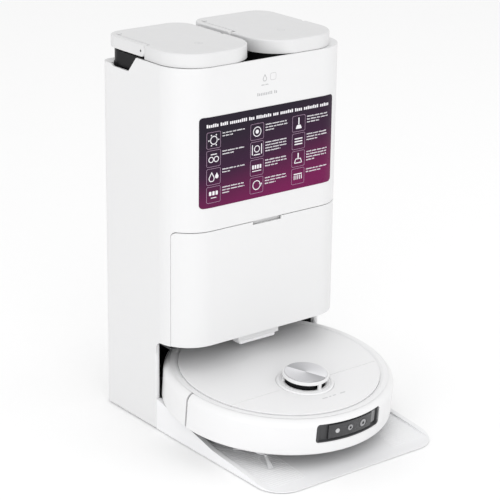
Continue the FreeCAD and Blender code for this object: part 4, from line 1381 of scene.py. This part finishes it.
# ---- robot ---------------------------------------------------------------------
@dataclass
class RobotSkin:
    """The robot's white outside: rim, rear wall, bumper, cover and front panel."""

    palette: Palette
    radius: float = 175.0
    cover_radius: float = 153.35
    top: float = 79.0
    wall_start: float = -2.2
    bumper_end: float = -6.0
    seam_y: float = -64.0
    seam_half: float = 0.25
    turret_y: float = -62.0
    turret_hole: float = 44.0
    window_half: float = 60.0
    window_z: tuple = (41.0, 70.5)
    dashes: tuple = ((-12.0, 10.0), (1.0, 4.0), (8.0, 6.0), (22.0, 10.0))

    def wall_outline(self) -> tuple:
        """Section of the side wall, shared by the bumper and the rear.

        Returns:
            The corners as (radius, height), and their radii.
        """
        r = self.radius
        corners = [(162.0, 74.6), (162.0, 77.75), (r, 77.95), (r, 22.0), (r - 3, 22.0), (r - 3, 74.6)]
        return corners, (0.3, 0.3, 12.0, 3.2, 0.8, 9.0)

    def build(self) -> None:
        """Build the skin's pieces."""
        self.build_rim()
        self.build_rear()
        self.build_bumper()
        self.build_cover()
        self.print_panel()

    def build_rim(self) -> None:
        """Turn the rim that holds the cover and laps over the bumper."""
        rim = Form(RAMP)
        rim.turn([(147.0, 72.4), (147.0, 74.8), (153.7, 74.8), (153.7, 76.2), (158.6, 78.45), (165.5, 78.75),
                  (165.5, 78.15), (158.9, 77.95), (158.9, 72.4)], (0, 0, 0, 0.3, 1.6, 0.25, 0.1, 0.3, 0), 192)
        rim.finish("robot_rim", "robot", Slot.WHITE, self.palette.robot_top)

    def build_rear(self) -> None:
        """Turn the wall round the robot's back."""
        rear = Form(RAMP)
        rear.turn(*self.wall_outline(), 192, LEVEL, 8)
        rear.keep_side((0, self.wall_start, 0), (0, 1, 0))
        rear.round_edges(0.5, 2, 60.0, lambda p: p.y < self.wall_start + 0.2)
        rear.finish("robot_rear_wall", "robot", Slot.WHITE, self.palette.bumper, ["robot_shell"])

    def build_bumper(self) -> None:
        """Turn the bumper and open its sensor window."""
        bumper = Form(RAMP)
        bumper.turn(*self.wall_outline(), 192, LEVEL, 8)
        bumper.keep_side((0, self.bumper_end, 0), (0, -1, 0))
        half = self.window_half
        bumper.cut(Form().port((-half, half), (-200, -120), self.window_z, 5.0))
        bumper.round_edges(0.7, 3, 50.0, lambda p: p.y > self.bumper_end - 0.2 or
                           (abs(p.x) < half + 0.5 and 40 < p.z < 72 and p.y < -150))
        bumper.finish("bumper_skin", "bumper", Slot.WHITE, self.palette.bumper, ["bumper"])

    def plate(self) -> Form:
        """The round top plate with the turret's hole, not yet split."""
        r = self.cover_radius
        plate = Form(RAMP)
        low, high = self.top - 3, self.top
        plate.turn([(0, low), (r, low), (r, high), (0, high)], (0, 0.3, 0.6, 0), 192)
        reach = self.turret_hole
        hole = Form().turn([(0, 60), (reach, 60), (reach, 90), (0, 90)], (0,) * 4, 96,
                           Matrix.Translation((0, self.turret_y, 0)))
        return plate.cut(hole)

    def build_cover(self) -> None:
        """Split the top plate at its cross seam into the cover and the front panel."""
        for name, body, sign, node in (("cover_skin", "top_cover", 1, "top_cover"),
                                       ("panel_skin", "robot", -1, "front_panel")):
            part = self.plate()
            seam = self.seam_y + sign * self.seam_half
            part.keep_side((0, seam, 0), (0, sign, 0))
            part.round_edges(0.45, 2, 60.0, lambda p: p.z > self.top - 0.5)
            part.finish(name, body, Slot.WHITE, self.palette.robot_top, [node])

    def print_panel(self) -> None:
        """Print a faint row of dashes on the front panel."""
        dashes = Form(RAMP)
        for x, width in self.dashes:
            dashes.slab((x, x + width), (-118.4, -116.0), (self.top - 0.2, self.top + 0.06), 0.8, 0.8, 3)
        dashes.finish("panel_dashes", "robot", Slot.GREY, self.palette.pale_ink)


@dataclass
class SensorWindow:
    """The dark recess in the bumper, with the camera block in it."""

    palette: Palette
    bottom: float = 41.3
    top: float = 70.2
    reach: float = 19.6
    block_reach: float = 13.6
    face_r: float = 173.6
    eye_z: float = 56.0

    def facing(self, angle: float, radius: float, z: float) -> Matrix:
        """Place a part, drawn upright, so that it looks outwards.

        Args:
            angle: degrees from the front towards +X.
            radius: distance from the robot's axis.
            z: height.

        Returns:
            The placing move.
        """
        turn = math.radians(angle)
        out = Vector((math.sin(turn), -math.cos(turn), 0))
        faced = out.to_track_quat("Z", "Y").to_matrix().to_4x4()
        return Matrix.Translation(out * radius + Vector((0, 0, z))) @ faced

    def build(self) -> None:
        """Build the recess, the block and its eyes."""
        self.build_recess()
        self.build_block()
        self.build_eyes()

    def build_recess(self) -> None:
        """Sweep the recess's floor and its top and bottom lips round the bumper."""
        low, high = self.bottom, self.top
        recess = Form(RAMP)
        recess.sector([(174.3, low), (174.3, low + 0.9), (169.6, low + 2.2), (169.6, high - 2.2),
                       (173.2, high - 0.9), (173.2, high), (168.2, high), (168.2, low)],
                      (0.2, 0.3, 1.2, 1.2, 0.3, 0.2, 0, 0), -self.reach, 2 * self.reach, 40)
        for side in (-1, 1):
            start = side * self.reach - (1.0 if side > 0 else 0.0)
            recess.sector([(174.2, low + 0.5), (173.2, high - 0.5), (168.4, high - 0.5), (168.4, low + 0.5)],
                          (0.3, 0.3, 0, 0), start, 1.0, 2)
        recess.finish("window_recess", "bumper", Slot.WINDOW, self.palette.recess, ["sensor_window"])
        panel = Form(RAMP)
        panel.sector([(171.0, 46.5), (171.0, 65.5), (169.2, 65.5), (169.2, 46.5)], (0.5, 0.5, 0, 0),
                     15.0, 3.2, 6)
        panel.finish("window_panel", "bumper", Slot.GREY, self.palette.panel)

    def build_block(self) -> None:
        """Sweep the camera block and chamfer its two ends."""
        block = Form(RAMP)
        block.sector([(self.face_r, 45.0), (self.face_r, 66.8), (170.5, 68.0), (169.0, 68.0), (169.0, 43.8),
                      (170.5, 43.8)], (1.2, 1.2, 0.4, 0, 0, 0.4), -self.block_reach, 2 * self.block_reach, 28)
        block.round_edges(1.6, 2, 60.0, lambda p: math.hypot(p.x, p.y) > 171.5)
        block.finish("camera_block", "bumper", Slot.WINDOW, self.palette.module, ["sensor_module"])

    def build_eyes(self) -> None:
        """Set the lamp and the two lenses in the block."""
        rings, glass, pupils = Form(RAMP), Form(RAMP), Form(RAMP)
        lamp = Form(RAMP).turn([(0, 0), (3.6, 0), (3.6, 0.9), (0, 1.2)], (0, 0, 0.5, 0), 40,
                               self.facing(-8.6, self.face_r - 0.6, self.eye_z), 3)
        lamp.finish("eye_lamp", "bumper", Slot.WINDOW, self.palette.lamp_glass)
        for angle, radius in ((-1.0, 6.2), (7.4, 7.4)):
            place = self.facing(angle, self.face_r - 0.6, self.eye_z)
            inner = radius - 1.3
            rings.turn([(inner, 0), (inner, 0.7), (radius - 0.5, 1.1), (radius, 0.9), (radius, 0)],
                       (0, 0.2, 0.3, 0.2, 0), 48, place, 3)
            edge = radius - 1.2
            glass.turn([(0, 0), (edge, 0), (edge, 0.45), (radius * 0.55, 0.9), (0, 1.0)],
                       (0, 0, 0.1, 1.0, 0), 48, place, 4)
            pupil = radius * 0.30
            pupils.turn([(0, 0.6), (pupil, 0.6), (pupil, 1.02), (0, 1.12)], (0, 0, 0.1, 0), 32, place, 2)
        rings.finish("eye_rings", "bumper", Slot.WINDOW, self.palette.recess)
        glass.finish("eye_glass", "bumper", Slot.WINDOW, self.palette.lens)
        pupils.finish("eye_pupils", "bumper", Slot.WINDOW, self.palette.of(Slot.TANK))


@dataclass
class Turret:
    """The laser turret: stepped base, white cap on three posts, brushed disc."""

    palette: Palette
    y: float = -62.0
    base_r: float = 43.5
    cap_r: float = 35.0
    cap_top: float = 94.8
    disc_r: float = 31.8
    posts: int = 3

    def build(self) -> None:
        """Build the turret's pieces."""
        place = Matrix.Translation((0, self.y, 0))
        top = self.palette.robot_top
        base = Form(RAMP)
        base.turn([(4.2, 72.5), (4.2, 74.0), (30.6, 74.0), (30.6, 79.9), (32.6, 81.3), (37.0, 81.5),
                   (37.5, 80.8), (38.6, 80.8), (39.1, 81.45), (42.2, 81.3), (self.base_r, 80.0),
                   (self.base_r, 72.5)],
                  (0, 0, 0, 0.5, 0.8, 0.2, 0.1, 0.1, 0.2, 0.9, 0.8, 0), 128, place, 3)
        base.finish("turret_collar", "robot", Slot.WHITE, top, ["turret_base"])
        cap = Form(RAMP)
        r, z = self.cap_r, self.cap_top
        cap.turn([(0, z - 5.4), (r - 0.7, z - 5.4), (r, z - 4.6), (r, z - 0.1), (self.disc_r + 0.5, z - 0.1),
                  (self.disc_r + 0.5, z - 0.7), (0, z - 0.7)], (0, 0.4, 0.4, 0.9, 0.3, 0, 0), 128, place, 5)
        for turn in range(self.posts):
            cap.sector([(r - 3.4, 81.2), (r - 3.4, z - 5.0), (r - 0.6, z - 5.0), (r - 0.6, 81.2)], (0,) * 4,
                       360 / self.posts * turn - 4.7, 9.4, 4, place)
        cap.finish("turret_hat", "robot", Slot.WHITE, self.palette.bumper, ["turret_cap"])
        disc = Form(RAMP)
        disc.turn([(0, z - 0.65), (self.disc_r, z - 0.65), (self.disc_r, z + 0.75), (0, z + 0.75)],
                  (0, 0, 0.35, 0), 160, place, 3)
        disc.finish("turret_plate", "robot", Slot.DISC, self.palette.of(Slot.DISC), ["turret_disc"])
        spinner = Form.copy_of("lidar_spinner").round_edges(0.4)
        spinner.finish("laser_drum", "lidar", Slot.DARK, self.palette.of(Slot.TANK), ["lidar_spinner"])


@dataclass
class RunningGear:
    """Wheels, caster, brushes and mop pads."""

    palette: Palette
    wheel_x: float = 112.0
    wheel_r: float = 33.0
    wheel_w: float = 18.0
    axle_z: float = 33.3
    lugs: int = 26
    lug_lean: float = 0.28
    spokes: int = 6
    brush_y: float = -56.0
    brush_z: float = 17.5
    brush_half: float = 68.0
    brush_r: float = 15.4
    blades: int = 6
    hub: tuple = (-101.0, -96.0)
    tuft: float = 44.0
    first_tuft: float = 130.0
    bristles: int = 22
    mop_x: float = 63.0
    mop_y: float = 108.0
    mop_r: float = 57.0
    mop_z: tuple = (3.6, 8.0)

    def build(self) -> None:
        """Build the running gear."""
        self.build_wheels()
        self.build_caster()
        self.build_roller()
        self.build_side_brush()
        self.build_mops()

    def build_wheels(self) -> None:
        """Turn the two tyres and set a row of lugs round each."""
        for name, side in (("left", -1), ("right", 1)):
            place = (Matrix.Translation((side * self.wheel_x, 0, self.axle_z))
                     @ Matrix.Rotation(side * math.pi / 2, 4, "Y"))
            half = self.wheel_w / 2
            groove = self.wheel_r - 2.2
            tyre = Form(RAMP)
            tyre.turn([(20.5, -half), (groove - 1, -half), (groove, -half + 1.2), (groove, half - 1.2),
                       (groove - 1, half), (20.5, half)], (0, 0.8, 1.0, 1.0, 0.8, 0), 104, place, 3)
            for index in range(self.lugs):
                turn = Matrix.Rotation(TURN * index / self.lugs, 4, "Z")
                lean = Matrix.Rotation(self.lug_lean if index % 2 else -self.lug_lean, 4, "X")
                lug = Form().slab((groove - 0.6, self.wheel_r - 0.1), (-1.6, 1.6), (-half + 1.0, half - 1.0))
                lug.round_edges(0.35, 1)
                tyre.add(lug, place @ turn @ lean)
            tyre.finish(name + "_tyre", name + "_wheel", Slot.TYRE, self.palette.of(Slot.TYRE),
                        [name + "_drive_wheel"])
            rim = Form(RAMP)
            rim.turn([(3.1, -half + 0.3), (20.4, -half + 0.3), (20.4, half - 0.4), (17.6, half - 0.4),
                      (16.8, half - 4.2), (6.5, half - 4.2), (6.0, half - 2.4), (3.1, half - 2.4)],
                     (0, 0, 0.4, 0.6, 0.8, 0.6, 0.3, 0), 64, place, 3)
            for index in range(self.spokes):
                turn = Matrix.Rotation(TURN * index / self.spokes, 4, "Z")
                spoke = Form().slab((6.0, 18.0), (-0.9, 0.9), (half - 4.6, half - 2.6))
                rim.add(spoke.round_edges(0.25, 1), place @ turn)
            rim.finish(name + "_wheel_rim", name + "_wheel", Slot.GREY, self.palette.of(Slot.GREY))

    def build_caster(self) -> None:
        """Round the caster's fork and turn its wheel."""
        fork = Form.copy_of("caster_fork").round_edges(0.4)
        fork.finish("caster_yoke", "caster_fork", Slot.DARK, self.palette.of(Slot.DARK),
                    ["caster_fork"])
        place = Matrix.Translation((0, -124.0, 11.8)) @ Matrix.Rotation(math.pi / 2, 4, "Y")
        wheel = Form(RAMP)
        wheel.turn([(1.6, -7.4), (9.8, -7.4), (11.4, -5.6), (11.4, -1.4), (10.6, -1.0), (10.6, 1.0),
                    (11.4, 1.4), (11.4, 5.6), (9.8, 7.4), (1.6, 7.4)],
                   (0, 1, 1, 0.3, 0.2, 0.2, 0.3, 1, 1, 0), 56, place, 3)
        wheel.finish("caster_roller", "caster_wheel", Slot.TYRE, self.palette.of(Slot.TYRE),
                     ["caster_wheel"])

    def build_roller(self) -> None:
        """Turn the main brush and wind its blades and bristle rows round it."""
        place = Matrix.Translation((0, self.brush_y, self.brush_z)) @ Matrix.Rotation(math.pi / 2, 4, "Y")
        core = Form(RAMP)
        end = self.brush_half + 1.6
        core.turn([(2.1, -end), (9.0, -end), (9.6, -end + 3), (8.2, -end + 4), (8.2, end - 4),
                   (9.6, end - 3), (9.0, end), (2.1, end)],
                  (0, 0.5, 0.5, 0.6, 0.6, 0.5, 0.5, 0), 48, place, 2)
        for row in range(self.blades):
            blade = Form()
            thick = 1.1 if row % 2 == 0 else 0.7
            bmesh.ops.create_grid(blade.mesh, x_segments=44, y_segments=3, size=1.0)
            for vert in blade.mesh.verts:
                along = vert.co.x * self.brush_half
                out = 7.6 + (vert.co.y + 1) / 2 * (self.brush_r - 7.7)
                turn = row * TURN / self.blades + 0.9 * abs(vert.co.x) ** 1.2
                vert.co = Vector((out * math.cos(turn), out * math.sin(turn), along))
            bmesh.ops.recalc_face_normals(blade.mesh, faces=blade.mesh.faces)
            bmesh.ops.solidify(blade.mesh, geom=blade.mesh.faces[:], thickness=thick)
            bmesh.ops.recalc_face_normals(blade.mesh, faces=blade.mesh.faces)
            core.add(blade, place)
        core.finish("main_brush_roller", "main_brush", Slot.RUBBER, self.palette.of(Slot.RUBBER),
                    ["main_brush"])

    def build_side_brush(self) -> None:
        """Turn the side brush's hub and fan three bundles of bristles from it."""
        x, y = self.hub
        place = Matrix.Translation((x, y, 0))
        hub = Form(RAMP)
        hub.turn([(0, 6.6), (9.0, 6.6), (12.6, 7.6), (12.6, 9.2), (9.5, 10.2), (4.8, 10.8), (4.8, 23.8),
                  (0, 23.8)], (0, 1.0, 0.7, 0.6, 0.8, 0.5, 0.3, 0), 48, place, 3)
        for arm in range(3):
            turn = math.radians(self.first_tuft + 120 * arm)
            hub.rod(place @ Vector((8 * math.cos(turn), 8 * math.sin(turn), 8.4)),
                    place @ Vector((17 * math.cos(turn), 17 * math.sin(turn), 7.6)), 2.4, 1.9, 16)
        hub.finish("side_brush_hub", "side_brush", Slot.BRISTLE, self.palette.of(Slot.BRISTLE),
                   ["side_brush"])
        bristles = Form(RAMP)
        rng = random.Random(5)
        for arm in range(3):
            for index in range(self.bristles):
                spread = (index / (self.bristles - 1) - 0.5) * 0.16 + rng.uniform(-0.01, 0.01)
                turn = math.radians(self.first_tuft + 120 * arm) + spread
                reach = self.tuft - rng.uniform(0.0, 2.5)
                out = Vector((math.cos(turn), math.sin(turn), 0))
                start = place @ (15 * out + Vector((0, 0, 7.7 + rng.uniform(-0.8, 0.8))))
                tip = place @ (reach * out + Vector((0, 0, 2.4 + rng.uniform(-0.6, 0.6))))
                bristles.rod(start, tip, 0.5, 0.4, 6)
        bristles.finish("side_brush_bristles", "side_brush", Slot.BRISTLE, self.palette.of(Slot.BRISTLE))

    def build_mops(self) -> None:
        """Make the two stitched mop pads and their carriers."""
        low, high = self.mop_z
        r = self.mop_r
        for name, side in (("left", -1), ("right", 1)):
            place = Matrix.Translation((side * self.mop_x, self.mop_y, 0))
            pad = Form(RAMP)
            pad.turn([(0, low + 0.5), (14, low + 0.3), (17, low + 1.1), (20, low + 0.1), (42, low),
                      (46, low + 1.1), (49, low + 0.1), (r, low + 0.3), (r, high - 0.9), (0, high - 0.9)],
                     (0, 2, 1.2, 2, 2, 1.2, 2, 1.8, 1.2, 0), 120, place, 4)
            rng = random.Random(21 + side)
            for vert in pad.mesh.verts:
                vert.co.z += rng.uniform(-0.09, 0.09)
            mop = pad.finish(name + "_mop_pad", name + "_mop", Slot.MOP, self.palette.of(Slot.MOP),
                             [name + "_mop"])
            plate = Form(RAMP)
            plate.turn([(0, high - 1.0), (r - 4, high - 1.0), (r - 4, high - 0.1), (12, high + 0.4),
                        (6, high + 2), (6, 25.8), (0, 25.8)], (0, 0.3, 0.4, 1, 1, 0.4, 0), 72, place, 3)
            plate.finish(name + "_mop_carrier", name + "_mop", Slot.DARK,
                         self.palette.of(Slot.DARK))


@dataclass
class InnerParts:
    """What shows when the station is opened, and every node that keeps its own shape."""

    palette: Palette
    bag_low: tuple = (-118.0, 39.0, 165.0)
    bag_high: tuple = (118.0, 98.0, 300.0)

    def build(self) -> None:
        """Fill the dust bag and dress the remaining nodes."""
        self.fill_bag()
        self.dress_nodes()

    def fill_bag(self) -> None:
        """Puff up the dust bag between its flat seams."""
        bag = Form()
        low, high = Vector(self.bag_low), Vector(self.bag_high)
        middle, half = (low + high) / 2, (high - low) / 2
        bmesh.ops.create_cube(bag.mesh, size=2.0)
        bmesh.ops.subdivide_edges(bag.mesh, edges=bag.mesh.edges[:], cuts=23, use_grid_fill=True)
        rng = random.Random(4)
        creases = [(rng.uniform(-1, 1), rng.uniform(-1, 1), rng.uniform(2.0, 5.0)) for _ in range(7)]
        for vert in bag.mesh.verts:
            u, v, w = vert.co
            crown = math.sqrt(max(0.0, (1 - u ** 6) * (1 - w ** 6)))
            depth = 0.35 + 0.62 * crown
            folds = sum(math.sin(k * (u * 2.1 + a) + 3 * (w + b)) for a, b, k in creases) * 0.006
            pinch = 1 - 0.045 * (v * v) * (1 - crown)
            vert.co = Vector((middle.x + half.x * u * pinch * 0.99,
                              middle.y + half.y * v * (depth + folds) * 0.98,
                              middle.z + half.z * w * pinch * 0.99))
        bag.round_edges(1.5, 2, 50.0)
        piece = bag.finish("dust_bag_fleece", "station", Slot.BAG, self.palette.of(Slot.BAG), ["dust_bag"])

    def dress_nodes(self) -> None:
        """Give each node that still shows the material of its slot."""
        slots = {part["node"]: Slot(part["material_slot"]) for part in frame["record"]["subparts"]}
        for name, node in frame["nodes"].items():
            if node.hide_render:
                continue
            node.data.materials.clear()
            node.data.materials.append(self.palette.of(slots[name]))
            LOG.info("%s keeps its shape, %s", name, slots[name].value)


def main() -> None:
    """Build the studio and every sub-assembly in order."""
    logging.basicConfig(level=logging.INFO, format="%(message)s")
    Studio().build()
    palette = Palette()
    StationBody(palette).build()
    FrontLabel(palette).build()
    RampTray(palette).build()
    for side in Side:
        WaterTank(palette, side).build()
    RobotSkin(palette).build()
    SensorWindow(palette).build()
    Turret(palette).build()
    RunningGear(palette).build()
    InnerParts(palette).build()


if __name__ == "__main__":
    main()
